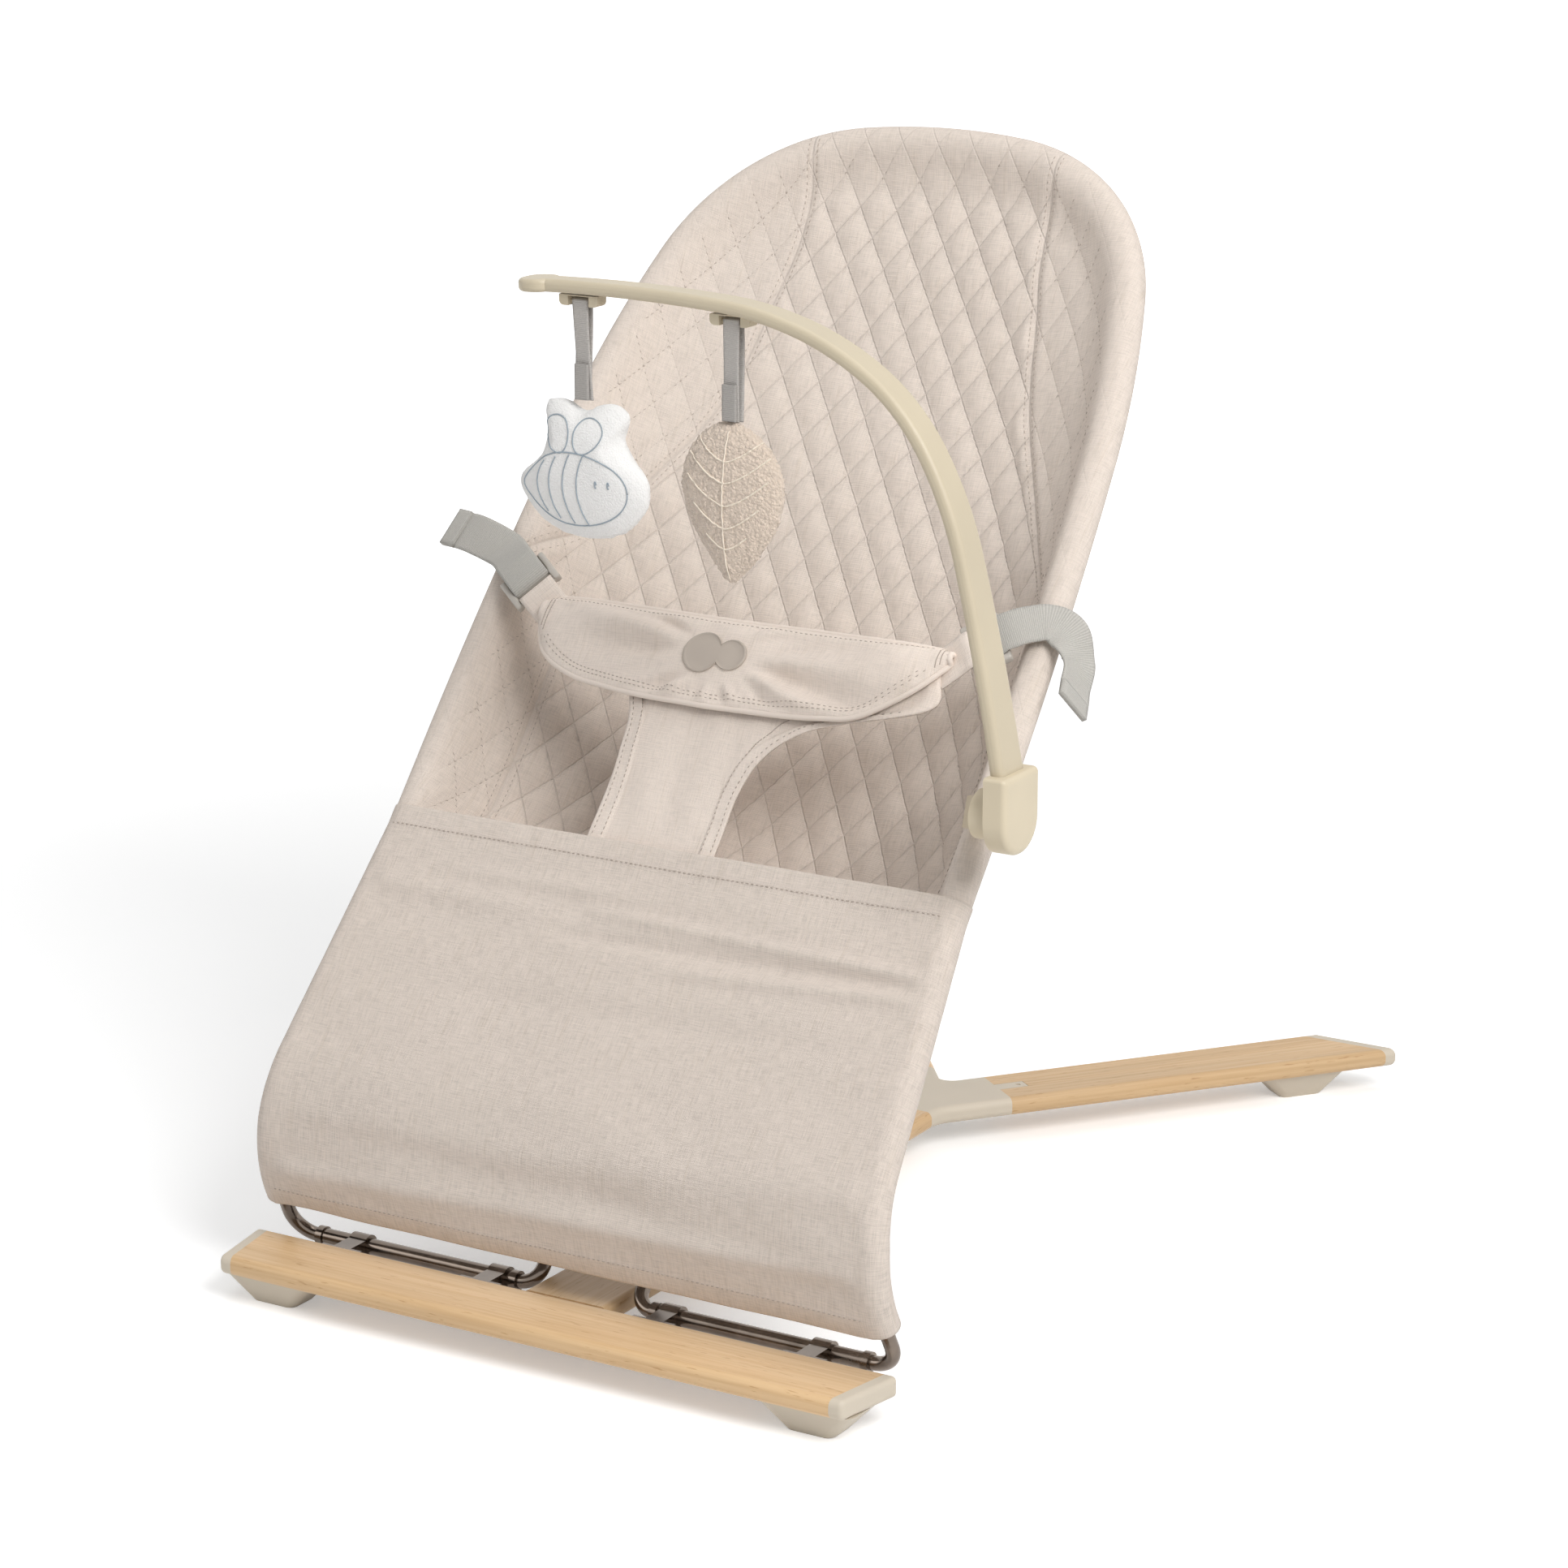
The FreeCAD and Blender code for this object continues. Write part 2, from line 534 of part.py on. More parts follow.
def rail_path(lower):
    """The whole loop as one wire; lower holds the right side's corners from its end up to the knee."""
    spans, x_end, u_end = rail_arcs()
    top = []
    for x, u, radius, angle, turn in spans:
        def at(share):
            a0, a = math.radians(angle), math.radians(angle + turn * share)
            return seat_point(x + radius * (math.sin(a) - math.sin(a0)),
                              u - radius * (math.cos(a0) - math.cos(a)), 0)
        top.append(Part.Arc(at(1.0), at(0.5), at(0.0)).toShape())
    side = rounded_wire(lower + [(seat_point(x_end, u_end, 0), 0.0)], closed=False)
    right = side.OrderedEdges + list(reversed(top))
    left = [mirrored(e) for e in reversed(right)]
    return Part.Wire(Part.__sortEdges__(right + left))


def build_rods():
    save("outer_rail", rod(rail_path(rail_corners()), ROD_RADIUS))
    start = PIVOT + X * (TUBE_INNER_X + ROD_PLUG)
    half = [(start, 0.0), (PIVOT + X * LOOP_HALF, LOOP_HEEL_RADIUS)]
    half += [(seat_point(LOOP_HALF, LOOP_TOP_U, RAIL_OFFSET), LOOP_CORNER_RADIUS)]
    other = [(Vector(-p.x, p.y, p.z), r) for p, r in reversed(half)]
    loop = rod(rounded_wire(half + other, closed=False), ROD_RADIUS)
    save("support_loop", loop)
    tube = Part.makeCylinder(TUBE_RADIUS, TUBE_OUTER_X - TUBE_INNER_X, PIVOT + X * TUBE_INNER_X, X)
    tube = tube.cut(Part.makeCylinder(ROD_RADIUS + RUNNING, TUBE_OUTER_X, PIVOT + X * (TUBE_INNER_X / 2), X))
    both_sides("pivot_tube", tube)
    rings = []
    for x in (TUBE_INNER_X, TUBE_OUTER_X - COLLAR_LENGTH):
        ring = Part.makeCylinder(COLLAR_RADIUS, COLLAR_LENGTH, PIVOT + X * x, X)
        rings.append(ring.cut(Part.makeCylinder(TUBE_RADIUS, COLLAR_LENGTH, PIVOT + X * x, X)))
    save("tube_collars", *(rings + [mirrored(r) for r in rings]))


# ---- fabric -------------------------------------------------------------------------------------
def spline(points):
    curve = Part.BSplineCurve()
    curve.interpolate(points)
    return curve.toShape()


def shell_section(u, depth, power):
    """One closed section of the seat shell: front face, end, back face, end."""
    half = rail_half(u, COVER_RADIUS + SOFT_GAP)
    shares = [math.sin(math.pi / 2 * k / 8.0) for k in range(-8, 9)]
    front = [seat_point(half * s, u, depth * (1.0 - abs(s) ** power)) for s in shares]
    back = [p + BEHIND * SHELL_THICKNESS for p in front]
    face = spline(front)
    rear = spline(list(reversed(back)))
    return Part.Wire([face, Part.makeLine(front[-1], back[-1]), rear, Part.makeLine(back[0], front[0])])


def quad(a, b, c, d):
    return rounded_wire([(p, 0.0) for p in (a, b, c, d)])


def clamp_arm(grow):
    """The toy bar clamp's arm, from the right rail forward to the boss, grown by a clearance."""
    rail_x = rail_half(CLAMP_U)
    half = CLAMP_LENGTH / 2 + grow
    root = seat_point(0, CLAMP_U, 0)
    boss = Vector(0, TOY_PIVOT_Y, TOY_PIVOT_Z)
    ahead = (boss - root).normalize()
    side = ahead.cross(X).normalize()
    sections = []
    for share, x0, x1, width in ((0.0, rail_x - 3.5, rail_x + 3.5, half * 0.8),
                                 (0.45, rail_x - 2.0, rail_x + ARM_THICKNESS, half * 0.75),
                                 (1.0, SOCKET_INNER_X - ARM_THICKNESS - 2.0, SOCKET_INNER_X - 0.6,
                                  BOSS_RADIUS - 4.0 + grow)):
        point = root + (boss - root) * share
        sections.append(quad(point + X * (x0 - grow) - side * width, point + X * (x1 + grow) - side * width,
                             point + X * (x1 + grow) + side * width, point + X * (x0 - grow) + side * width))
    return Part.makeLoft(sections, True, True)


def build_fabric():
    cover_lower = rail_corners()[1:]
    heel, bend = cover_lower[0][0], cover_lower[1][0]
    start = heel + (bend - heel).normalize() * COVER_START
    path = rail_path([(start, 0.0)] + cover_lower[1:])
    cover = rod(path, COVER_RADIUS).cut(rod(path, ROD_RADIUS + SOFT_GAP))
    rail_x = rail_half(CLAMP_U)
    grown = CLAMP_LENGTH + 4 * SOFT_GAP
    cover = cover.cut(Part.makeCylinder(CLAMP_RADIUS + SOFT_GAP, grown,
                                        seat_point(rail_x, CLAMP_U - grown / 2, 0), ALONG))
    cover = cover.cut(clamp_arm(SOFT_GAP * 1.5))
    save("rail_cover", max(cover.Solids, key=lambda s: s.Volume))

    sections = [shell_section(*station) for station in SHELL_STATIONS]
    save("seat_shell", Part.makeLoft(sections, True, False))

    save("leg_panel", build_leg_panel())

    rows = []
    for x, low, high, depth in FLAP_STATIONS:
        front = depth - FLAP_THICKNESS
        rows.append(quad(seat_point(x, low, depth), seat_point(x, high, depth),
                         seat_point(x, high, front), seat_point(x, low, front)))
    save("waist_flap", Part.makeLoft(rows, True, True))
    rows = []
    for u, left, right, depth in CROTCH_STATIONS:
        front = depth - CROTCH_THICKNESS
        rows.append(quad(seat_point(left, u, depth), seat_point(right, u, depth),
                         seat_point(right, u, front), seat_point(left, u, front)))
    save("crotch_strap", Part.makeLoft(rows, True, True))

    flap_front = min(s[3] for s in FLAP_STATIONS) - FLAP_THICKNESS
    flap_top = FLAP_STATIONS[3][2]
    discs = []
    for x, radius in zip(PATCH_X, PATCH_RADII):
        center = seat_point(x, flap_top - PATCH_DROP, flap_front - PATCH_THICKNESS)
        discs.append(Part.makeCylinder(radius, PATCH_THICKNESS, center, BEHIND))
    save("flap_patch", discs[0].fuse(discs[1]).removeSplitter())

    channel = Part.makeCylinder(CHANNEL_RADIUS, 2 * CHANNEL_HALF,
                                seat_point(-CHANNEL_HALF, LOOP_TOP_U, RAIL_OFFSET), X)
    channel = channel.cut(Part.makeCylinder(ROD_RADIUS + SOFT_GAP, 2 * CHANNEL_HALF + 2,
                                            seat_point(-CHANNEL_HALF - 1, LOOP_TOP_U, RAIL_OFFSET), X))
    save("loop_channel", channel)
    build_webbing()


def build_leg_panel():
    """The front sheet: it follows the rails' front from the hem at the seat down to the bottom hem."""
    heel = Vector(0, PIVOT_Y, PIVOT_Z)
    bend = seat_point(0, RAIL_BEND_U, 0)
    down = (heel - bend).normalize()
    half_turn = down.getAngle(ALONG * -1) / 2.0
    outward = (down * -1 + ALONG * -1).normalize()
    top = seat_point(0, PANEL_HEM_U, 0)
    bottom = heel - down * COVER_START
    lower_out = down.cross(X).normalize()
    if lower_out.y > 0:
        lower_out = lower_out * -1

    def row(offset, reverse):
        corners = [(top - BEHIND * offset, 0.0),
                   (bend + outward * (offset / math.cos(half_turn)), RAIL_BEND_RADIUS + offset),
                   (bottom + lower_out * offset, 0.0)]
        return list(reversed(corners)) if reverse else corners
    outer = COVER_RADIUS + SOFT_GAP + PANEL_THICKNESS
    inner = COVER_RADIUS + SOFT_GAP
    strip = Part.Face(rounded_wire(row(outer, False) + row(inner, True)))
    wide = RAIL_HEEL_X + 20
    strip.translate(X * -wide)
    sheet = strip.extrude(X * (2 * wide))
    knee_x, knee_z = rail_half(RAIL_KNEE_U), seat_point(0, RAIL_KNEE_U, 0).z
    right = [(RAIL_HEEL_X, 0), (RAIL_BEND_X, bend.z), (knee_x, knee_z), (knee_x, top.z + 50)]
    outline = right + [(-x, z) for x, z in reversed(right)]
    front_view = rounded_wire([(Vector(x, -200, z), 0.0) for x, z in outline])
    return sheet.common(Part.Face(front_view).extrude(Vector(0, 500, 0)))


def ribbon(stations, width, thickness):
    """A flat strap through (point, heading across the strap) stations, which may twist."""
    points = [p for p, across in stations]
    rows = []
    for i, (point, across) in enumerate(stations):
        ahead = (points[min(i + 1, len(points) - 1)] - points[max(i - 1, 0)]).normalize()
        out = ahead.cross(across).normalize() * (thickness / 2)
        half = out.cross(ahead).normalize() * (width / 2)
        rows.append(quad(point - half - out, point + half - out, point + half + out, point - half + out))
    return Part.makeLoft(rows, True, True)


def slider(center, run, across):
    """A ladder-lock slider: a frame with a middle bar and two slots."""
    run = Vector(run).normalize()
    across = Vector(across).normalize()
    up = run.cross(across).normalize()

    def block(a0, a1, b_half, c_half):
        corners = [center + run * a + across * b - up * c_half
                   for a, b in ((a0, -b_half), (a1, -b_half), (a1, b_half), (a0, b_half))]
        return Part.Face(quad(*corners)).extrude(up * (2 * c_half))
    body = block(-SLIDER_LENGTH / 2, SLIDER_LENGTH / 2, SLIDER_WIDTH / 2, SLIDER_THICKNESS / 2)
    slot = WEB_WIDTH / 2 + 1.0
    end, bar = SLIDER_LENGTH / 2 - SLIDER_RIM, SLIDER_BAR / 2
    for low, high in ((-end, -bar), (bar, end)):
        body = body.cut(block(low, high, slot, SLIDER_THICKNESS))
    return body


def flap_front(x):
    """Depth of the waist flap's front face at x."""
    for (x0, _, _, d0), (x1, _, _, d1) in zip(FLAP_STATIONS, FLAP_STATIONS[1:]):
        if x0 <= x <= x1:
            return d0 + (d1 - d0) * (x - x0) / (x1 - x0) - FLAP_THICKNESS
    return FLAP_STATIONS[0][3] - FLAP_THICKNESS


def build_webbing():
    """Side webs of the waist strap: over a slider beside the flap and over the rail to a loose tail."""
    for side, tag in ((-1, "left"), (1, "right")):
        middle = seat_point(side * SLIDER_X, SLIDER_U, SLIDER_DEPTH)
        run = (seat_point(side * rail_half(WEB_CROSS_U), WEB_CROSS_U, SLIDER_DEPTH) - middle).normalize()
        across = run.cross(BEHIND).normalize()
        save("strap_slider_" + tag, slider(middle, run, across))
        top = SLIDER_THICKNESS / 2 + WEB_THICKNESS / 2 + SOFT_GAP
        on_flap = middle - run * WEB_ON_FLAP
        above_flap = SLIDER_DEPTH - flap_front(abs(on_flap.x)) + WEB_THICKNESS / 2 + 3 * SOFT_GAP
        stations = [(on_flap - BEHIND * above_flap, across)]
        stations += [(middle + run * a - BEHIND * top, across) for a in (-14.0, 0.0, 12.0)]
        rail_x = rail_half(WEB_CROSS_U)
        rail_top = COVER_RADIUS + WEB_THICKNESS / 2 + 2 * SOFT_GAP
        if side < 0:
            stations.append((seat_point(-rail_x - 3.0, WEB_CROSS_U + 1.0, -rail_top), across))
            stations.append((seat_point(-rail_x - 46.0, WEB_CROSS_U + 11.0, -rail_top), across))
        else:
            stations.append((seat_point(rail_x + 6.0, WEB_CROSS_U, -rail_top - 1.0), across))
            stations.append((seat_point(rail_x + 16.0, WEB_CROSS_U - 2.0, -5.5), ALONG))
            stations.append((seat_point(rail_x + 21.0, WEB_CROSS_U - 14.0, 2.0), (ALONG + BEHIND * 0.5)))
            stations.append((seat_point(rail_x + 32.0, WEB_CROSS_U - 46.0, -4.0), (ALONG * 0.6 + BEHIND)))
        save("side_web_" + tag, ribbon(stations, WEB_WIDTH, WEB_THICKNESS))


# ---- toy bar ------------------------------------------------------------------------------------
def arch_wire():
    x, z = ARCH_START
    lean = math.radians(ARCH_START_LEAN)
    edges = []
    for length, turn in ARCH_SPANS:
        radius = length / math.radians(turn)

        def at(share):
            a = lean + math.radians(turn) * share
            return Vector(x - radius * (math.cos(lean) - math.cos(a)), TOY_PIVOT_Y,
                          z + radius * (math.sin(a) - math.sin(lean)))
        edges.append(Part.Arc(at(0.0), at(0.5), at(1.0)).toShape())
        end = at(1.0)
        x, z = end.x, end.z
        lean += math.radians(turn)
    return Part.Wire(edges), Vector(x, TOY_PIVOT_Y, z), lean


def arch_section(point, lean, size):
    """A rounded flat section across the arch at a point, size is (thickness, width)."""
    out = Vector(math.cos(lean), 0, math.sin(lean))
    wide = Vector(0, 1, 0)
    t, w = size[0] / 2, size[1] / 2
    corners = [point + out * a + wide * b for a, b in ((-t, -w), (t, -w), (t, w), (-t, w))]
    return rounded_wire([(c, t * 0.8) for c in corners])


def arch_body(grow):
    path, tip, tip_lean = arch_wire()
    start = Vector(ARCH_START[0], TOY_PIVOT_Y, ARCH_START[1])
    low = arch_section(start, math.radians(ARCH_START_LEAN), [s + 2 * grow for s in ARCH_FOOT_SECTION])
    high = arch_section(tip, tip_lean, [s + 2 * grow for s in ARCH_TIP_SECTION])
    return path.makePipeShell([low, high], True, True), tip, tip_lean


def arch_height(x):
    """Height of the arch's centre line over x, on its flat top part."""
    path, tip, tip_lean = arch_wire()
    wanted = Part.makeLine(Vector(x, TOY_PIVOT_Y, tip.z - 60), Vector(x, TOY_PIVOT_Y, tip.z + 60))
    distance, pairs, info = path.distToShape(wanted)
    return pairs[0][0].z


def build_toy_bar():
    arch, tip, tip_lean = arch_body(0.0)
    back = Vector(-math.sin(tip_lean), 0, math.cos(tip_lean)) * -1
    thick = ARCH_TIP_SECTION[0]
    top = Vector(math.cos(tip_lean), 0, math.sin(tip_lean))
    paddle_mid = tip + back * 4.0
    half = PADDLE_LENGTH / 2
    ends = [paddle_mid + back * half, paddle_mid - back * half]
    outline = []
    for end, sign in ((ends[0], 1), (ends[1], -1)):
        for w in (-1, 1):
            y = w * sign * PADDLE_RADIUS
            outline.append((end + Vector(0, y, 0) - top * (thick / 2), min(half, PADDLE_RADIUS) * 0.9))
    paddle = Part.Face(rounded_wire(outline)).extrude(top * thick)
    paddle = round_edges(paddle, thick * 0.35,
                         lambda e: abs(abs((middle_of(e) - tip).dot(top)) - thick / 2) < 1e-3)
    arch = arch.fuse(paddle).removeSplitter()

    socket_x1 = SOCKET_INNER_X + SOCKET_THICKNESS
    y, z = TOY_PIVOT_Y, TOY_PIVOT_Z
    outline = [(y - SOCKET_RADIUS, z - SOCKET_RADIUS, SOCKET_RADIUS - 0.5),
               (y + SOCKET_RADIUS, z - SOCKET_RADIUS, SOCKET_RADIUS - 0.5),
               (y + SOCKET_RADIUS, z + SOCKET_HEIGHT, 2.0), (y - SOCKET_RADIUS, z + SOCKET_HEIGHT, 2.0)]
    face = Part.Face(rounded_wire([(Vector(SOCKET_INNER_X, a, b), r) for a, b, r in outline]))
    socket = face.extrude(X * SOCKET_THICKNESS)
    socket = round_edges(socket, SOCKET_EDGE_RADIUS, lambda e: all(
        abs(v.Point.x - socket_x1) < 1e-4 for v in e.Vertexes))
    socket = socket.cut(arch_body(FIT)[0])
    pin_start = SOCKET_INNER_X - ARM_THICKNESS
    pin = Part.makeCylinder(PIN_RADIUS, ARM_THICKNESS + PIN_REACH, Vector(pin_start, y, z), X)
    socket = socket.cut(Part.makeCylinder(PIN_RADIUS + RUNNING, PIN_REACH + 0.3,
                                          Vector(SOCKET_INNER_X, y, z), X))

    rail_x = rail_half(CLAMP_U)
    ring_start = seat_point(rail_x, CLAMP_U - CLAMP_LENGTH / 2, 0)
    ring = Part.makeCylinder(CLAMP_RADIUS, CLAMP_LENGTH, ring_start, ALONG)
    boss_start = Vector(SOCKET_INNER_X - BOSS_GAP - ARM_THICKNESS, y, z)
    boss = Part.makeCylinder(BOSS_RADIUS, ARM_THICKNESS, boss_start, X)
    clamp = ring.fuse([clamp_arm(0.0), boss])
    clamp = clamp.cut(rod(rail_path(rail_corners()), ROD_RADIUS)).cut(pin).removeSplitter()
    save("toy_bar_clamp", clamp)
    save("toy_bar_pin", pin)
    save("toy_bar_socket", socket)

    for name, x in TOYS:
        build_hanger_and_toy(name, x)
    save("toy_bar_arch", arch)


def build_hanger_and_toy(name, x):
    under = arch_height(x) - ARCH_TIP_SECTION[0] / 2 - 1.0
    bar_z = under - HANGER_DROP
    y = TOY_PIVOT_Y
    half = HANGER_SPAN / 2
    low = bar_z - HANGER_BAR_RADIUS - 0.7
    lug = Part.Face(rounded_wire([(Vector(x + a, y - HANGER_WIDTH / 2, b), r) for a, b, r in (
        (-half, low, 3.0), (half, low, 3.0), (half, under, 0.0), (-half, under, 0.0))]))
    lug = lug.extrude(Vector(0, HANGER_WIDTH, 0))
    window = box(x - RIBBON_WIDTH / 2 - 1.0, x + RIBBON_WIDTH / 2 + 1.0, y - HANGER_WIDTH, y + HANGER_WIDTH,
                 low - 1.0, under - 0.6)
    bar_half = RIBBON_WIDTH / 2 + 2.0
    bar = Part.makeCylinder(HANGER_BAR_RADIUS, 2 * bar_half, Vector(x - bar_half, y, bar_z), X)
    hanger = lug.cut(window).fuse(bar).removeSplitter()
    arch = arch_body(0.0)[0]
    save("toy_hanger_" + name, hanger.cut(arch))

    inner = HANGER_BAR_RADIUS + SOFT_GAP
    eye_start = Vector(x - RIBBON_WIDTH / 2, y, bar_z)
    eye = Part.makeCylinder(inner + RIBBON_THICKNESS, RIBBON_WIDTH, eye_start, X)
    tail_top = bar_z - inner
    tail = box(x - RIBBON_WIDTH / 2, x + RIBBON_WIDTH / 2, y - RIBBON_THICKNESS, y + RIBBON_THICKNESS,
               bar_z - RIBBON_LENGTH, tail_top)
    ribbon = eye.fuse(tail).cut(Part.makeCylinder(inner, RIBBON_WIDTH + 2,
                                                  Vector(x - RIBBON_WIDTH / 2 - 1, y, bar_z), X))
    save(name + "_ribbon", ribbon.removeSplitter())
    top = bar_z - RIBBON_LENGTH - SOFT_GAP
    save(name + "_toy", bee_shape(x, y, top) if name == "bee" else leaf_shape(x, y, top))


def puffy(outline, y, thickness, radius):
    """A vertical pad: a rounded outline in x and z, with its rims rounded."""
    face = Part.Face(rounded_wire([(Vector(px, y - thickness / 2, pz), r) for px, pz, r in outline]))
    pad = face.extrude(Vector(0, thickness, 0))
    return round_edges(pad, radius, lambda e: abs(abs(middle_of(e).y - y) - thickness / 2) < 1e-4)


def bee_shape(x, y, top):
    w, h, t = BEE_SIZE
    outline = [(x - 0.36 * w, top, 9), (x + 0.34 * w, top, 9), (x + 0.30 * w, top - 0.34 * h, 8),
               (x + 0.52 * w, top - 0.45 * h, 14), (x + 0.48 * w, top - 0.85 * h, 16),
               (x + 0.05 * w, top - 1.04 * h, 26), (x - 0.42 * w, top - 0.88 * h, 20),
               (x - 0.54 * w, top - 0.50 * h, 14), (x - 0.32 * w, top - 0.36 * h, 8)]
    return puffy(outline, y, t, 6.0)


def leaf_shape(x, y, top):
    w, h, t = LEAF_SIZE
    outline = [(x - 0.30 * w, top, 16), (x + 0.26 * w, top, 14), (x + 0.54 * w, top - 0.24 * h, 18),
               (x + 0.46 * w, top - 0.58 * h, 30), (x + 0.06 * w, top - 1.0 * h, 5),
               (x - 0.14 * w, top - 1.0 * h, 5), (x - 0.46 * w, top - 0.60 * h, 30),
               (x - 0.56 * w, top - 0.26 * h, 18)]
    return puffy(outline, y, t, 5.0)


os.makedirs("parts", exist_ok=True)
build_base()
build_rods()
build_fabric()
build_toy_bar()
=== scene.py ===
import json
import math

import bmesh
import bpy
import numpy as np
from mathutils import Matrix, Vector, noise
from mathutils.bvhtree import BVHTree


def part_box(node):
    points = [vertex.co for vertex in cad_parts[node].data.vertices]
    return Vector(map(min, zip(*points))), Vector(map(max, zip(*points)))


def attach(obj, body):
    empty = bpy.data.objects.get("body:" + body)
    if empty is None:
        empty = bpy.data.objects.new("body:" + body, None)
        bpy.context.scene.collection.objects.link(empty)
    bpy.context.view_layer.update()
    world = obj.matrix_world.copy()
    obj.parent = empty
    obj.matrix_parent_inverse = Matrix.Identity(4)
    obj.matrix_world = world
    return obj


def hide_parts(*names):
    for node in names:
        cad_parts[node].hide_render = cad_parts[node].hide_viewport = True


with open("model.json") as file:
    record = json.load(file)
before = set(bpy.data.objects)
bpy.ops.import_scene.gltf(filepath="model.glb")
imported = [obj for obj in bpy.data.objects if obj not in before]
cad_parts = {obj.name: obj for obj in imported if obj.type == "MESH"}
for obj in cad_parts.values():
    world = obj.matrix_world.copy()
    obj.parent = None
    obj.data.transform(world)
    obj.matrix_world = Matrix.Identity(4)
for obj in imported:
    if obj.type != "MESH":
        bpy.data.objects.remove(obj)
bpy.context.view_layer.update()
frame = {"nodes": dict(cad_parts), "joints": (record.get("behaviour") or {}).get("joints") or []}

bl_info = {
    "name": "Bouncer seat builder",
    "version": (1, 0, 0),
    "blender": (4, 5, 0),
    "location": "View3D > Sidebar > Bouncer",
    "description": "Dresses the packed bouncer seat frame: quilted sling, restraint, toys, wood, plastic "
                   "and steel",
    "category": "Object",
}

# ---- where the seat lies, from the frame --------------------------------------------------------
JOINTS = {j["name"]: j for j in frame["joints"]}
PIVOT = np.array(JOINTS["seat_fold"]["pos_m"], float)
RECLINE = math.radians(50.0)
ALONG = np.array([0.0, math.cos(RECLINE), math.sin(RECLINE)])
BEHIND = np.array([0.0, math.sin(RECLINE), -math.cos(RECLINE)])
ACROSS = np.array([1.0, 0.0, 0.0])
RAIL_OFFSET = 0.0795           # from the pivot axis forward to the plane of the rails
RAIL_TOP = 0.740
RAIL_ARCS = ((0.392, 8.0), (0.127, 67.0), (0.592, 11.0), (3.492, 4.0))   # radius, turn; from the top
BEND_X, BEND_U, BEND_RADIUS = 0.203, 0.0354, 0.076
HEEL_X = 0.208
KNEE_U = 0.234

# ---- sling ---------------------------------------------------------------------------------------
ROLL_RADIUS = 0.0092           # cloth rolled round the rod
FLANGE = 0.034                 # over which the roll runs out into the seat
WALL_START = 0.022             # over which the bowl begins inside the rails
SLING_LOW_U = 0.214
SLING_THICKNESS = 0.0040
SLING_COLUMNS, SLING_ROWS = 180, 258
# along the rails, depth at the middle, squareness of the section
SLING_SHAPE = ((0.214, -0.006, 3.4), (0.222, 0.020, 3.8), (0.238, 0.047, 4.4), (0.262, 0.060, 4.8),
               (0.290, 0.066, 4.8), (0.350, 0.066, 4.6), (0.430, 0.060, 4.0), (0.510, 0.050, 3.4),
               (0.590, 0.039, 2.6), (0.640, 0.028, 2.3), (0.680, 0.017, 2.2), (0.705, 0.010, 2.1),
               (0.719, 0.006, 2.0), (0.740, 0.002, 2.0))
QUILT_WIDE, QUILT_HIGH = 0.025, 0.038     # one diamond
QUILT_PUFF = 0.0034
CASING_SEAM = 0.031            # from the rod to the seam of its casing beside the pocket
SHOULDER = math.radians(41.0)  # where the sling's sides turn into its top edge
# side seams of the middle panel: along the rails, half distance between them
SEAM_LINE = ((0.410, 0.185), (0.440, 0.168), (0.470, 0.150), (0.510, 0.131), (0.541, 0.116), (0.572, 0.104),
             (0.606, 0.096), (0.633, 0.091), (0.664, 0.085), (0.712, 0.084), (0.750, 0.088))

# ---- front sheet ---------------------------------------------------------------------------------
PANEL_TOP_U = 0.246
HEM_FOLD = 0.0135              # width of the front sheet's folded hems
PANEL_START = 0.033            # rod left bare above the heel
PANEL_WRAP = 0.0100
PANEL_THICKNESS = 0.0013
PANEL_TUCK = 0.018

# ---- restraint -----------------------------------------------------------------------------------
FLAP_HALF = 0.139
SLIDER_X, SLIDER_U = 0.157, 0.400          # middle of each strap slider
WEB_CROSS_U = 0.420                        # where the side webs cross the rails
STRAP_LIFT = 0.015                         # of the sliders and the webs, in front of the plane of the rails
PATCH_X, PATCH_U = -0.002, 0.364
WEB_WIDTH = 0.025
WEB_THICKNESS = 0.0015


def smooth(t):
    t = np.clip(t, 0.0, 1.0)
    return t * t * (3 - 2 * t)


def seat_points(x, u, depth):
    """x across, u along the rails from the pivot, depth behind the plane of the rails, as points."""
    x, u, depth = np.broadcast_arrays(np.asarray(x, float), np.asarray(u, float), np.asarray(depth, float))
    return (PIVOT + x[..., None] * ACROSS + u[..., None] * ALONG + (depth[..., None] - RAIL_OFFSET) * BEHIND)


def curve_through(table):
    """A smooth function through (place, value) pairs, by Catmull-Rom spans."""
    keys = np.array([row[0] for row in table], float)
    values = np.array([row[1] for row in table], float)
    slopes = np.gradient(values, keys)

    def at(t):
        t = np.clip(np.asarray(t, float), keys[0], keys[-1])
        i = np.clip(np.searchsorted(keys, t) - 1, 0, len(keys) - 2)
        span = keys[i + 1] - keys[i]
        s = (t - keys[i]) / span
        return ((2 * s ** 3 - 3 * s ** 2 + 1) * values[i] + (s ** 3 - 2 * s ** 2 + s) * span * slopes[i]
                + (-2 * s ** 3 + 3 * s ** 2) * values[i + 1] + (s ** 3 - s ** 2) * span * slopes[i + 1])
    return at


def rail_arcs():
    """(centre x, centre u, radius, from, to) of each arc of the right rail, and where the last one ends."""
    x, u, angle, arcs = 0.0, RAIL_TOP, 0.0, []
    for radius, turn in RAIL_ARCS:
        a0, a1 = math.radians(angle), math.radians(angle + turn)
        cx, cu = x - radius * math.sin(a0), u - radius * math.cos(a0)
        arcs.append((cx, cu, radius, a0, a1))
        x, u = cx + radius * math.sin(a1), cu + radius * math.cos(a1)
        angle += turn
    return arcs, x, u


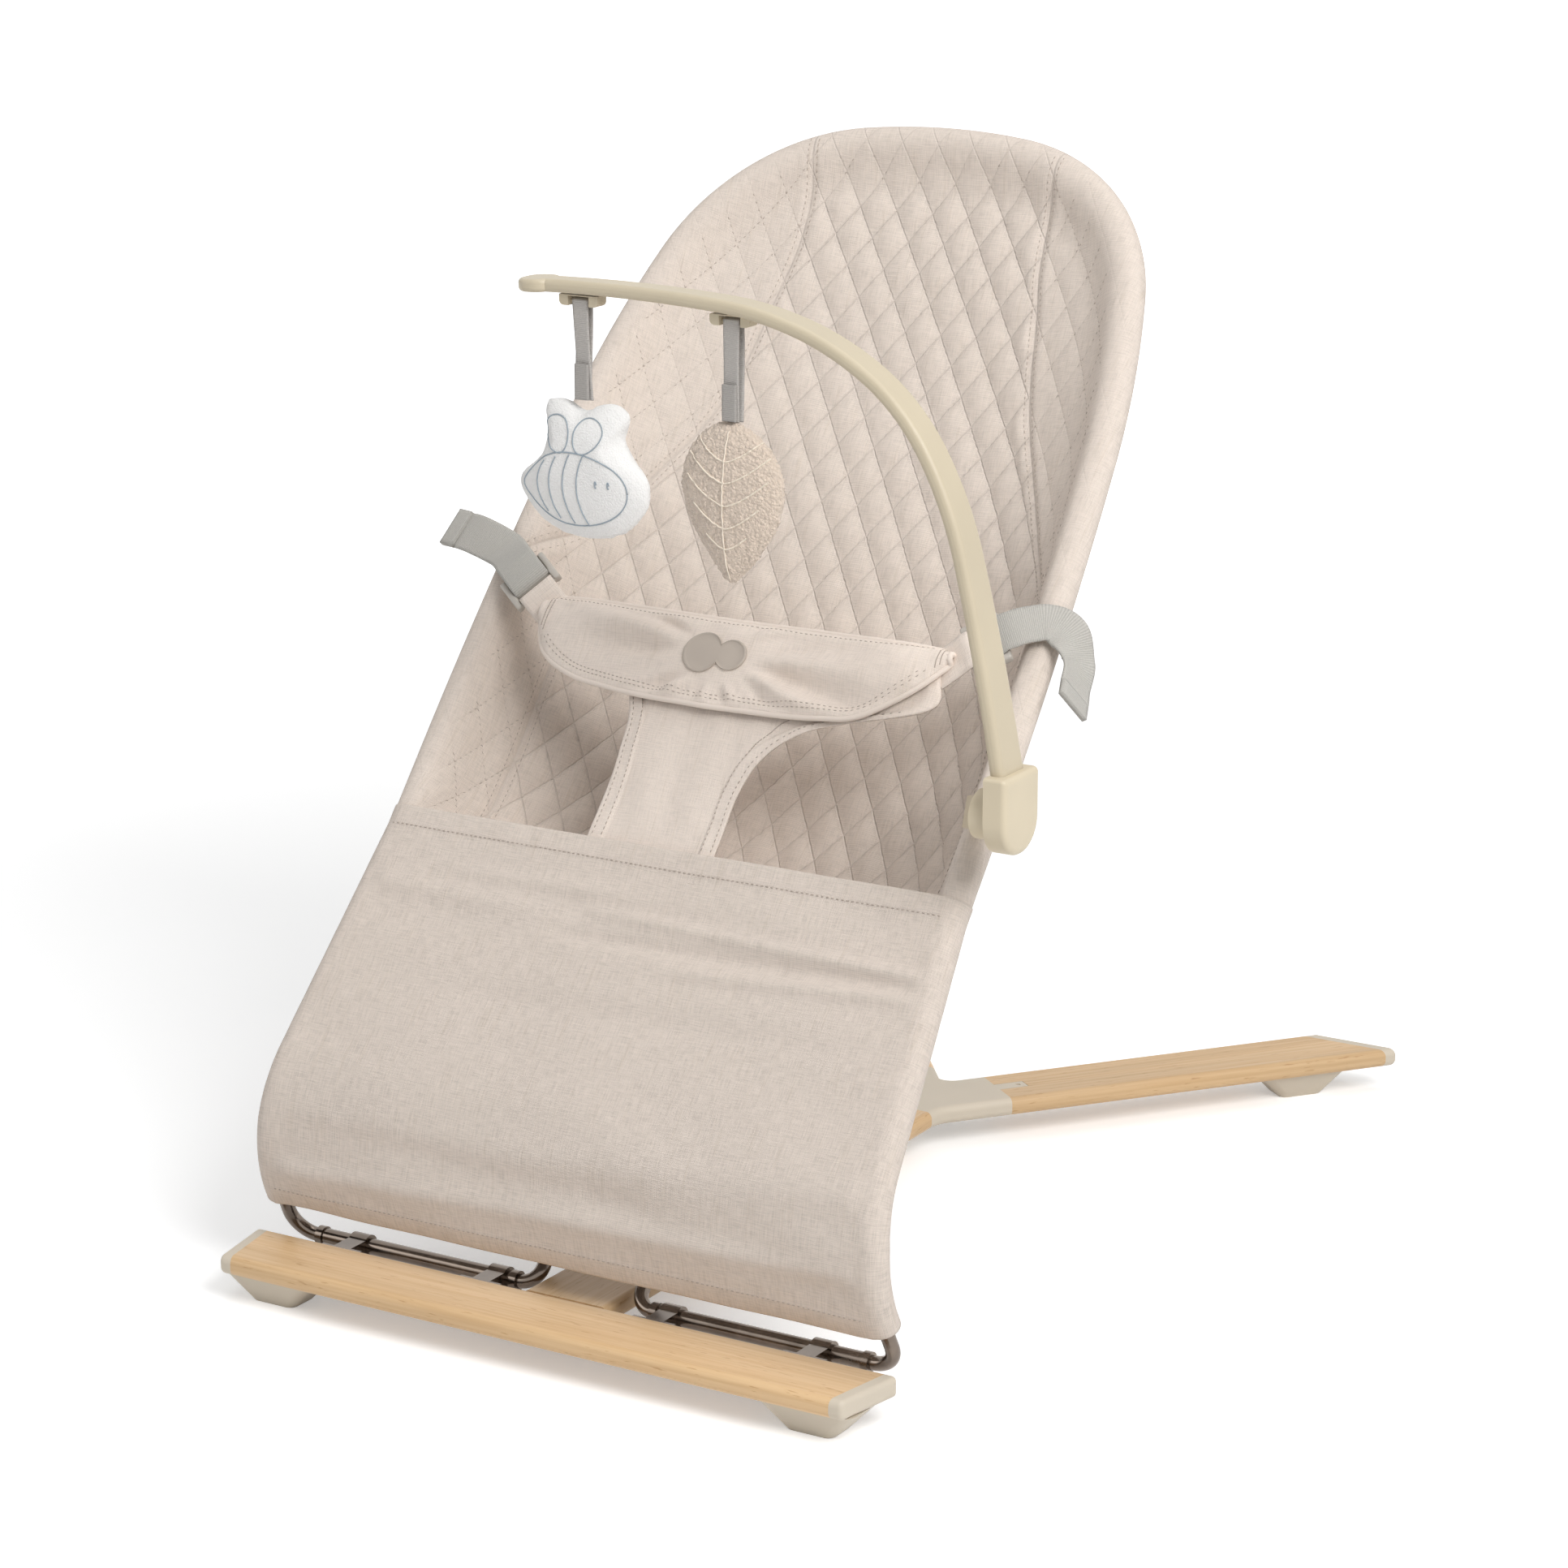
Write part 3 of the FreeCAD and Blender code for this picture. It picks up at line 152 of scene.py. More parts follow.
ARCS, RAIL_X, RAIL_STRAIGHT_U = rail_arcs()


def inside_rail(x, u):
    """Distance from the rail's centre line, positive towards the seat's middle."""
    ax = np.abs(x)
    best = np.where(u < RAIL_STRAIGHT_U, RAIL_X - ax, 9.0)
    for cx, cu, radius, a0, a1 in ARCS:
        angle = np.arctan2(ax - cx, u - cu)
        gap = radius - np.hypot(ax - cx, u - cu)
        fits = (angle >= a0 - 1e-6) & (angle <= a1 + 1e-6) & (np.abs(gap) < np.abs(best))
        best = np.where(fits, gap, best)
    return best


def rail_side(inset, low, corner_angle, count=400):
    """The right rail line set in by inset: from low to the corner, then on to the top middle."""
    pts = []
    for cx, cu, radius, a0, a1 in ARCS:
        for a in np.linspace(a0, a1, 120):
            pts.append((cx + (radius - inset) * math.sin(a), cu + (radius - inset) * math.cos(a), a))
    pts.append((RAIL_X - inset, low, math.pi / 2))
    pts = np.array(pts)
    split = int(np.searchsorted(pts[:, 2], corner_angle))
    return even(pts[split:, :2][::-1], count), even(pts[:split + 1, :2][::-1], count)


def even(points, count):
    """The same line with count points evenly along it."""
    points = np.asarray(points, float)
    step = np.r_[0.0, np.cumsum(np.linalg.norm(np.diff(points, axis=0), axis=1))]
    keep = np.r_[True, np.diff(step) > 1e-9]
    t = np.linspace(0, step[-1], count)
    return np.stack([np.interp(t, step[keep], points[keep, k]) for k in range(points.shape[1])], axis=1)


def along(line, t):
    """Points at shares t of an evenly spaced line."""
    place = np.clip(t, 0, 1) * (len(line) - 1)
    i = np.clip(place.astype(int), 0, len(line) - 2)
    s = (place - i)[:, None]
    return line[i] * (1 - s) + line[i + 1] * s


def unit(v):
    return v / np.maximum(np.linalg.norm(v, axis=-1, keepdims=True), 1e-12)


def normals_of(grid):
    """Normals of a grid whose rows go up and whose columns go to +X, on the side that faces the viewer."""
    return unit(np.cross(np.gradient(grid, axis=1), np.gradient(grid, axis=0)))


def surface_frame(fn, a, b, step=2e-4):
    """Points and normals of a surface given as a function of two arrays."""
    n = np.cross(fn(a + step, b) - fn(a - step, b), fn(a, b + step) - fn(a, b - step))
    return fn(a, b), unit(n)


def wander(points, scale, seed):
    """Smooth noise from -1 to 1 at each point."""
    flat = points.reshape(-1, 3)
    shift = Vector((seed * 3.1, seed * 1.7, seed * 2.3))
    values = [noise.noise(Vector(p) * (1.0 / scale) + shift) for p in flat]
    return np.array(values).reshape(points.shape[:-1])


# ---- meshes --------------------------------------------------------------------------------------
def add_mesh(name, verts, faces, uvs=None, marks=None, smooth_shade=True):
    """A new mesh object; uvs and marks hold one value for each vertex."""
    mesh = bpy.data.meshes.new(name)
    mesh.from_pydata([tuple(v) for v in verts], [], [tuple(int(i) for i in f) for f in faces])
    if uvs is not None:
        layer = mesh.uv_layers.new(name="cloth")
        loops = np.zeros(len(mesh.loops), np.int32)
        mesh.loops.foreach_get("vertex_index", loops)
        layer.data.foreach_set("uv", np.asarray(uvs, np.float32)[loops].ravel())
    for key, values in (marks or {}).items():
        mesh.attributes.new(key, "FLOAT", "POINT").data.foreach_set("value", np.asarray(values, np.float32))
    mesh.validate()
    if smooth_shade:
        mesh.shade_smooth()
    made = bpy.data.objects.new(name, mesh)
    bpy.context.scene.collection.objects.link(made)
    return made


def point_outwards(obj):
    bm = bmesh.new()
    bm.from_mesh(obj.data)
    bmesh.ops.remove_doubles(bm, verts=bm.verts, dist=1e-6)
    bmesh.ops.recalc_face_normals(bm, faces=bm.faces)
    bm.to_mesh(obj.data)
    bm.free()


def grid_faces(rows, columns, start=0, flip=False):
    """Quads of a rows by columns grid of vertex numbers."""
    i = np.arange(rows * columns).reshape(rows, columns) + start
    quads = np.stack([i[:-1, :-1], i[:-1, 1:], i[1:, 1:], i[1:, :-1]], axis=-1).reshape(-1, 4)
    return quads[:, ::-1] if flip else quads


def thick_sheet(name, front, thickness, uv, marks=None):
    """A closed sheet: the front grid, a back grid set off along its normals, and four rims."""
    rows, columns = front.shape[:2]
    thick = np.broadcast_to(np.asarray(thickness, float), (rows, columns))
    back = front - normals_of(front) * thick[..., None]
    verts = np.concatenate([front.reshape(-1, 3), back.reshape(-1, 3)])
    total = rows * columns
    faces = [grid_faces(rows, columns), grid_faces(rows, columns, total, True)]
    i = np.arange(total).reshape(rows, columns)
    ring = np.concatenate([i[0, :-1], i[:-1, -1], i[-1, :0:-1], i[:0:-1, 0]])
    after = np.roll(ring, -1)
    faces.append(np.stack([after, ring, ring + total, after + total], axis=1))
    uvs = np.concatenate([uv.reshape(-1, 2)] * 2)
    both = {k: np.concatenate([v.ravel(), v.ravel()]) for k, v in (marks or {}).items()}
    made = add_mesh(name, verts, np.concatenate(faces), uvs, both)
    point_outwards(made)
    return made


def spline_points(stations, count):
    """Catmull-Rom points through stations, evenly spread."""
    p = np.asarray(stations, float)
    p = np.concatenate([[2 * p[0] - p[1]], p, [2 * p[-1] - p[-2]]])
    out = []
    for k in range(1, len(p) - 2):
        for s in np.linspace(0, 1, 24, endpoint=False):
            out.append(0.5 * ((2 * p[k]) + (p[k + 1] - p[k - 1]) * s
                              + (2 * p[k - 1] - 5 * p[k] + 4 * p[k + 1] - p[k + 2]) * s ** 2
                              + (3 * p[k] - p[k - 1] - 3 * p[k + 1] + p[k + 2]) * s ** 3))
    out.append(p[-2])
    return even(out, count)


def strap(name, stations, width, thickness, count=60, across_count=9):
    """A flat strap through (point, across) stations."""
    line = spline_points([list(p) + list(a) for p, a in stations], count)
    points, across = line[:, :3], line[:, 3:]
    ahead = np.gradient(points, axis=0)
    ahead /= np.linalg.norm(ahead, axis=1, keepdims=True)
    across = across - ahead * np.sum(across * ahead, axis=1, keepdims=True)
    across /= np.linalg.norm(across, axis=1, keepdims=True)
    t = np.linspace(-0.5, 0.5, across_count) * width
    grid = points[:, None, :] + across[:, None, :] * t[None, :, None]
    length = np.r_[0.0, np.cumsum(np.linalg.norm(np.diff(points, axis=0), axis=1))]
    uv = np.stack(np.broadcast_arrays(t[None, :], length[:, None]), axis=-1)
    return thick_sheet(name, grid, thickness, uv)


def tube(name, points, radius, sides=8, closed=False, flat=1.0, up=(0.0, 1.0, 0.0)):
    """A tube along points; flat squeezes it along up."""
    p = np.asarray(points, float)
    ahead = np.roll(p, -1, axis=0) - np.roll(p, 1, axis=0) if closed else np.gradient(p, axis=0)
    ahead /= np.maximum(np.linalg.norm(ahead, axis=1, keepdims=True), 1e-12)
    up = np.broadcast_to(np.asarray(up, float), p.shape)
    side = np.cross(ahead, up)
    side /= np.maximum(np.linalg.norm(side, axis=1, keepdims=True), 1e-12)
    top = np.cross(side, ahead)
    a = np.linspace(0, 2 * math.pi, sides, endpoint=False)
    ring = (p[:, None, :] + side[:, None, :] * (np.cos(a) * radius)[None, :, None]
            + top[:, None, :] * (np.sin(a) * radius * flat)[None, :, None])
    n = len(p)
    i = np.arange(n * sides).reshape(n, sides)
    here = i if closed else i[:-1]
    there = np.roll(i, -1, axis=0) if closed else i[1:]
    faces = np.stack([here, np.roll(here, -1, axis=1), np.roll(there, -1, axis=1), there],
                     axis=-1).reshape(-1, 4)
    faces = [tuple(f) for f in faces]
    if not closed:
        faces += [tuple(i[0][::-1]), tuple(i[-1])]
    made = add_mesh(name, ring.reshape(-1, 3), faces)
    point_outwards(made)
    return made


def join(name, objects):
    """One object made of several, under a new name."""
    bpy.ops.object.select_all(action="DESELECT")
    for o in objects:
        o.select_set(True)
    bpy.context.view_layer.objects.active = objects[0]
    bpy.ops.object.join()
    objects[0].name = name
    objects[0].data.name = name
    return objects[0]


def bar(center, axes, half, bevel):
    """A bevelled bar with three axes and three half sizes, as its own object."""
    bm = bmesh.new()
    bmesh.ops.create_cube(bm, size=2.0)
    for v in bm.verts:
        v.co = Vector(center + sum(axes[k] * (v.co[k] * half[k]) for k in range(3)))
    bmesh.ops.recalc_face_normals(bm, faces=bm.faces)
    bmesh.ops.bevel(bm, geom=bm.edges, offset=bevel, segments=3, profile=0.5, affect="EDGES")
    mesh = bpy.data.meshes.new("bar")
    bm.to_mesh(mesh)
    bm.free()
    mesh.shade_smooth()
    made = bpy.data.objects.new("bar", mesh)
    bpy.context.scene.collection.objects.link(made)
    return made


# ---- stitches, by Geometry Nodes -------------------------------------------------------------------
def stitch_tree(material):
    """Instances a small thread end to end on points that hold a direction and a normal."""
    tree = bpy.data.node_groups.new("stitch_run", "GeometryNodeTree")
    face = tree.interface
    face.new_socket("Geometry", in_out="INPUT", socket_type="NodeSocketGeometry")
    for label, value in (("Thread length", 0.0026), ("Thread width", 0.0006)):
        socket = face.new_socket(label, in_out="INPUT", socket_type="NodeSocketFloat")
        socket.default_value = value
    seed = face.new_socket("Seed", in_out="INPUT", socket_type="NodeSocketInt")
    seed.default_value = 3
    face.new_socket("Geometry", in_out="OUTPUT", socket_type="NodeSocketGeometry")
    new, link = tree.nodes.new, tree.links.new
    came = new("NodeGroupInput")
    gone = new("NodeGroupOutput")
    thread = new("GeometryNodeMeshIcoSphere")
    thread.inputs["Radius"].default_value = 0.5
    thread.inputs["Subdivisions"].default_value = 1
    ahead = new("GeometryNodeInputNamedAttribute")
    ahead.data_type = "FLOAT_VECTOR"
    ahead.inputs["Name"].default_value = "ahead"
    out = new("GeometryNodeInputNamedAttribute")
    out.data_type = "FLOAT_VECTOR"
    out.inputs["Name"].default_value = "out"
    turn = new("FunctionNodeAlignRotationToVector")
    turn.axis = "X"
    link(ahead.outputs["Attribute"], turn.inputs["Vector"])
    roll = new("FunctionNodeAlignRotationToVector")
    roll.axis = "Z"
    roll.pivot_axis = "X"
    link(turn.outputs["Rotation"], roll.inputs["Rotation"])
    link(out.outputs["Attribute"], roll.inputs["Vector"])
    vary = new("FunctionNodeRandomValue")
    vary.data_type = "FLOAT"
    vary.inputs[2].default_value = 0.85
    vary.inputs[3].default_value = 1.1
    link(came.outputs["Seed"], vary.inputs["Seed"])
    stretch = new("ShaderNodeMath")
    stretch.operation = "MULTIPLY"
    link(came.outputs["Thread length"], stretch.inputs[0])
    link(vary.outputs[1], stretch.inputs[1])
    size = new("ShaderNodeCombineXYZ")
    link(stretch.outputs[0], size.inputs["X"])
    link(came.outputs["Thread width"], size.inputs["Y"])
    link(came.outputs["Thread width"], size.inputs["Z"])
    place = new("GeometryNodeInstanceOnPoints")
    link(came.outputs["Geometry"], place.inputs["Points"])
    link(thread.outputs["Mesh"], place.inputs["Instance"])
    link(roll.outputs["Rotation"], place.inputs["Rotation"])
    link(size.outputs[0], place.inputs["Scale"])
    real = new("GeometryNodeRealizeInstances")
    link(place.outputs["Instances"], real.inputs["Geometry"])
    paint = new("GeometryNodeSetMaterial")
    paint.inputs["Material"].default_value = material
    link(real.outputs["Geometry"], paint.inputs["Geometry"])
    link(paint.outputs["Geometry"], gone.inputs["Geometry"])
    return tree


def stitches(name, places, ahead, out, material, length=0.0026, width=0.0006):
    """One mesh of thread stitches at places, along ahead, lying on surfaces that face out."""
    mesh = bpy.data.meshes.new(name)
    mesh.from_pydata([tuple(p) for p in places], [], [])
    for key, values in (("ahead", ahead), ("out", out)):
        mesh.attributes.new(key, "FLOAT_VECTOR", "POINT").data.foreach_set(
            "vector", np.asarray(values, np.float32).ravel())
    made = bpy.data.objects.new(name, mesh)
    bpy.context.scene.collection.objects.link(made)
    tree = stitch_tree(material)
    modifier = made.modifiers.new("stitches", "NODES")
    modifier.node_group = tree
    wanted = {"Thread length": length, "Thread width": width, "Seed": 3}
    for item in tree.interface.items_tree:
        if item.item_type == "SOCKET" and item.in_out == "INPUT" and item.name in wanted:
            modifier[item.identifier] = wanted[item.name]
    graph = bpy.context.evaluated_depsgraph_get()
    solid = bpy.data.meshes.new_from_object(made.evaluated_get(graph))
    made.modifiers.clear()
    made.data = solid
    bpy.data.meshes.remove(mesh)
    bpy.data.node_groups.remove(tree)
    solid.materials.clear()
    solid.materials.append(material)
    solid.shade_smooth()
    return made


# ---- materials -----------------------------------------------------------------------------------
def material(name, color, roughness, **sockets):
    """A Principled material; sockets are set on the shader itself."""
    made = bpy.data.materials.new(name)
    made.use_nodes = True
    shader = made.node_tree.nodes["Principled BSDF"]
    shader.inputs["Base Color"].default_value = (*color, 1.0)
    shader.inputs["Roughness"].default_value = roughness
    for key, value in sockets.items():
        shader.inputs[key.replace("_", " ")].default_value = value
    made.diffuse_color = (*color, 1.0)
    return made


class Nodes:
    """Short words for building a material's node tree."""

    def __init__(self, made):
        self.tree = made.node_tree
        self.shader = self.tree.nodes["Principled BSDF"]

    def add(self, kind, **values):
        node = self.tree.nodes.new(kind)
        for key, value in values.items():
            setattr(node, key, value)
        return node

    def link(self, a, b):
        self.tree.links.new(a, b)

    def place(self, scale, rotation=(0, 0, 0), use_uv=False):
        where = self.add("ShaderNodeTexCoord")
        mapping = self.add("ShaderNodeMapping")
        mapping.inputs["Scale"].default_value = scale
        mapping.inputs["Rotation"].default_value = rotation
        turn = self.add("ShaderNodeMapping")
        turn.inputs["Rotation"].default_value = rotation
        mapping.inputs["Rotation"].default_value = (0, 0, 0)
        self.link(where.outputs["UV" if use_uv else "Object"], turn.inputs["Vector"])
        self.link(turn.outputs["Vector"], mapping.inputs["Vector"])
        return mapping.outputs["Vector"]

    def noise(self, vector, scale=1.0, detail=3.0, roughness=0.55):
        node = self.add("ShaderNodeTexNoise")
        node.inputs["Scale"].default_value = scale
        node.inputs["Detail"].default_value = detail
        node.inputs["Roughness"].default_value = roughness
        self.link(vector, node.inputs["Vector"])
        return node.outputs["Fac"]

    def ramp(self, value, stops):
        node = self.add("ShaderNodeValToRGB")
        while len(node.color_ramp.elements) < len(stops):
            node.color_ramp.elements.new(0.5)
        for element, (place, color) in zip(node.color_ramp.elements, stops):
            element.position = place
            element.color = (*color, 1.0) if len(color) == 3 else color
        self.link(value, node.inputs["Fac"])
        return node.outputs["Color"]

    def mix(self, a, b, share, kind="MIX"):
        node = self.add("ShaderNodeMix", data_type="RGBA", blend_type=kind)
        for socket, value in ((node.inputs[6], a), (node.inputs[7], b), (node.inputs[0], share)):
            if hasattr(value, "is_linked"):
                self.link(value, socket)
            elif socket == node.inputs[0]:
                socket.default_value = value
            else:
                socket.default_value = (*value, 1.0)
        return node.outputs[2]

    def math(self, operation, a, b=0.5):
        node = self.add("ShaderNodeMath", operation=operation)
        for socket, value in ((node.inputs[0], a), (node.inputs[1], b)):
            if hasattr(value, "is_linked"):
                self.link(value, socket)
            else:
                socket.default_value = value
        return node.outputs[0]

    def bump(self, height, distance, strength=1.0):
        node = self.add("ShaderNodeBump")
        node.inputs["Strength"].default_value = strength
        node.inputs["Distance"].default_value = distance
        self.link(height, node.inputs["Height"])
        self.link(node.outputs["Normal"], self.shader.inputs["Normal"])

    def color(self, value):
        self.link(value, self.shader.inputs["Base Color"])

    def rough(self, value):
        self.link(value, self.shader.inputs["Roughness"])


def shade(color, share):
    return tuple(max(0.0, min(1.0, c * share)) for c in color)


def painted_crease_shade(n):
    """Painted shade along the quilting lines and side seams: 0 on the lines, 1 between them; a mesh
    attribute made with the sling sets the depth of both.
    """
    place = n.add("ShaderNodeTexCoord")
    parts = n.add("ShaderNodeSeparateXYZ")
    n.link(place.outputs["UV"], parts.inputs["Vector"])
    wide = n.math("MULTIPLY", parts.outputs["X"], 1 / QUILT_WIDE)
    high = n.math("MULTIPLY", parts.outputs["Y"], 1 / QUILT_HIGH)
    lines = [n.math("PINGPONG", n.math(kind, wide, high), 0.5) for kind in ("ADD", "SUBTRACT")]
    nearest = n.math("MINIMUM", lines[0], lines[1])
    seam = n.add("ShaderNodeAttribute", attribute_name="seam")
    nearest = n.math("MINIMUM", nearest, n.math("MULTIPLY", n.math("ABSOLUTE", seam.outputs["Fac"]), 32.0))
    ramp = n.add("ShaderNodeMapRange", interpolation_type="SMOOTHSTEP")
    ramp.inputs["From Max"].default_value = 0.042
    n.link(nearest, ramp.inputs["Value"])
    deep = n.add("ShaderNodeAttribute", attribute_name="crease_shade_depth")
    open_part = n.math("SUBTRACT", 1.0, ramp.outputs["Result"])
    return n.math("SUBTRACT", 1.0, n.math("MULTIPLY", open_part, deep.outputs["Fac"]))


def cloth_material(name, color, thread_pitch=0.0009, streaks=0.10, quilted=False):
    """Linen-look weave on the piece's own UV map, in metres, with painted shade along the quilting lines and
    seams.
    """
    made = material(name, color, 0.92, Sheen_Weight=0.12, Sheen_Roughness=0.5, Specular_IOR_Level=0.25)
    n = Nodes(made)
    warp = n.noise(n.place((1300, 95, 1), use_uv=True), detail=3.0)
    weft = n.noise(n.place((95, 1300, 1), use_uv=True), detail=3.0)
    slub = n.noise(n.place((420, 26, 1), use_uv=True), detail=2.0)
    both = n.math("ADD", n.math("MULTIPLY", warp, 0.5), n.math("MULTIPLY", weft, 0.5))
    low, high = shade(color, 1.0 - streaks * 1.3), shade(color, 1.0 + streaks * 0.8)
    tone = n.ramp(both, [(0.36, low), (0.5, color), (0.64, high)])
    tone = n.mix(tone, n.ramp(slub, [(0.56, (1, 1, 1)), (0.74, (0.94, 0.93, 0.91))]), 1.0, "MULTIPLY")
    fine = n.math("MULTIPLY", both, 0.6)
    if quilted:
        # painted shade: on the quilting lines and seams the colour is pulled towards 87% of the base colour
        crease = painted_crease_shade(n)
        tone = n.mix(shade(color, 0.87), tone, n.math("ADD", n.math("MULTIPLY", crease, 0.55), 0.45))
        fine = n.math("ADD", fine, n.math("MULTIPLY", crease, 1.6))
    n.color(tone)
    weave_x = n.add("ShaderNodeTexWave", wave_type="BANDS", bands_direction="X")
    weave_y = n.add("ShaderNodeTexWave", wave_type="BANDS", bands_direction="Y")
    for wave in (weave_x, weave_y):
        wave.inputs["Scale"].default_value = 1.0
        wave.inputs["Distortion"].default_value = 1.2
        wave.inputs["Detail"].default_value = 1.0
        n.link(n.place((0.314 / thread_pitch, 0.314 / thread_pitch, 1), use_uv=True), wave.inputs["Vector"])
    weave = n.math("MULTIPLY", weave_x.outputs["Fac"], weave_y.outputs["Fac"])
    n.bump(n.math("ADD", n.math("MULTIPLY", weave, 0.4), fine), 0.0005, 0.6)
    return made


def wood_material(name, color, angle=0.0):
    """Beech with its grain along Y turned by angle, with fine flecks and pores."""
    made = material(name, color, 0.42, Specular_IOR_Level=0.4, Coat_Weight=0.12, Coat_Roughness=0.35)
    n = Nodes(made)
    turn = (0, 0, angle)
    bands = n.noise(n.place((26, 1.6, 26), turn), detail=3.0)
    fine = n.noise(n.place((420, 9, 420), turn), detail=4.0)
    flecks = n.noise(n.place((700, 70, 700), turn), detail=2.0)
    tone = n.ramp(bands, [(0.32, shade(color, 0.86)), (0.5, color), (0.68, shade(color, 1.10))])
    tone = n.mix(tone, n.ramp(fine, [(0.35, (0.86, 0.80, 0.72)), (0.6, (1, 1, 1))]), 0.7, "MULTIPLY")
    tone = n.mix(tone, n.ramp(flecks, [(0.64, (1, 1, 1)), (0.72, (0.74, 0.62, 0.50))]), 0.8, "MULTIPLY")
    n.color(tone)
    n.rough(n.ramp(fine, [(0.3, (0.50, 0.50, 0.50)), (0.7, (0.38, 0.38, 0.38))]))
    n.bump(n.math("ADD", fine, flecks), 0.00015, 0.35)
    return made


def plastic_material(name, color, roughness=0.48):
    """Moulded plastic with a fine spark-eroded skin."""
    made = material(name, color, roughness, Specular_IOR_Level=0.45)
    n = Nodes(made)
    cloud = n.noise(n.place((14, 14, 14)), detail=2.0)
    grain = n.noise(n.place((1500, 1500, 1500)), detail=2.0)
    n.color(n.ramp(cloud, [(0.3, shade(color, 0.965)), (0.7, shade(color, 1.025))]))
    n.rough(n.ramp(grain, [(0.3, (roughness - 0.05,) * 3), (0.7, (roughness + 0.07,) * 3)]))
    n.bump(grain, 0.00012, 0.30)
    return made


def steel_material(name, color, roughness):
    """Plated steel with faint drawing marks and worn spots."""
    made = material(name, color, roughness, Metallic=1.0)
    n = Nodes(made)
    wear = n.noise(n.place((60, 60, 60)), detail=4.0)
    n.color(n.ramp(wear, [(0.35, shade(color, 0.85)), (0.7, shade(color, 1.2))]))
    n.rough(n.ramp(wear, [(0.3, (roughness * 0.8,) * 3), (0.75, (roughness * 1.5,) * 3)]))
    n.bump(n.noise(n.place((900, 900, 900))), 0.00004, 0.3)
    return made


def ribbed_material(name, color, pitch, use_uv=True):
    """Woven tape: ribs across its length on the strap's own UV map."""
    made = material(name, color, 0.80, Sheen_Weight=0.10, Specular_IOR_Level=0.3)
    n = Nodes(made)
    rib = n.add("ShaderNodeTexWave", wave_type="BANDS", bands_direction="Y")
    rib.inputs["Scale"].default_value = 1.0
    rib.inputs["Distortion"].default_value = 0.3
    n.link(n.place((0.314 / pitch, 0.314 / pitch, 1), use_uv=use_uv), rib.inputs["Vector"])
    grain = n.noise(n.place((900, 900, 1), use_uv=use_uv), detail=2.0)
    tone = n.ramp(rib.outputs["Fac"], [(0.1, shade(color, 0.86)), (0.6, color), (1.0, shade(color, 1.05))])
    n.color(n.mix(tone, n.ramp(grain, [(0.35, (0.86, 0.86, 0.86)), (0.7, (1, 1, 1))]), 0.8, "MULTIPLY"))
    n.bump(n.math("ADD", rib.outputs["Fac"], n.math("MULTIPLY", grain, 0.4)), 0.00025, 0.6)
    return made


def pile_material(name, color, scale, depth, spread):
    """Plush or terry: short pile seen as clumps."""
    made = material(name, color, 0.95, Sheen_Weight=0.35, Sheen_Roughness=0.6, Specular_IOR_Level=0.15)
    n = Nodes(made)
    clump = n.add("ShaderNodeTexVoronoi")
    clump.inputs["Scale"].default_value = 1.0
    n.link(n.place((scale, scale, scale)), clump.inputs["Vector"])
    fuzz = n.noise(n.place((scale * 2.3,) * 3), detail=4.0)
    tone = n.ramp(clump.outputs["Distance"], [(0.0, shade(color, 1.0 + spread)),
                                              (0.7, shade(color, 1.0 - spread * 1.5))])
    n.color(n.mix(tone, n.ramp(fuzz, [(0.3, shade(color, 1.0 - spread)),
                                      (0.7, shade(color, 1.0 + spread))]), 0.4))
    n.bump(n.math("SUBTRACT", fuzz, clump.outputs["Distance"]), depth, 0.7)
    return made


def paint(obj, made):
    """Gives a piece or a CAD node one material."""
    if obj.data.materials:
        for k in range(len(obj.data.materials)):
            obj.material_slots[k].link = "DATA"
            obj.data.materials[k] = made
    else:
        obj.data.materials.append(made)


_made = {}


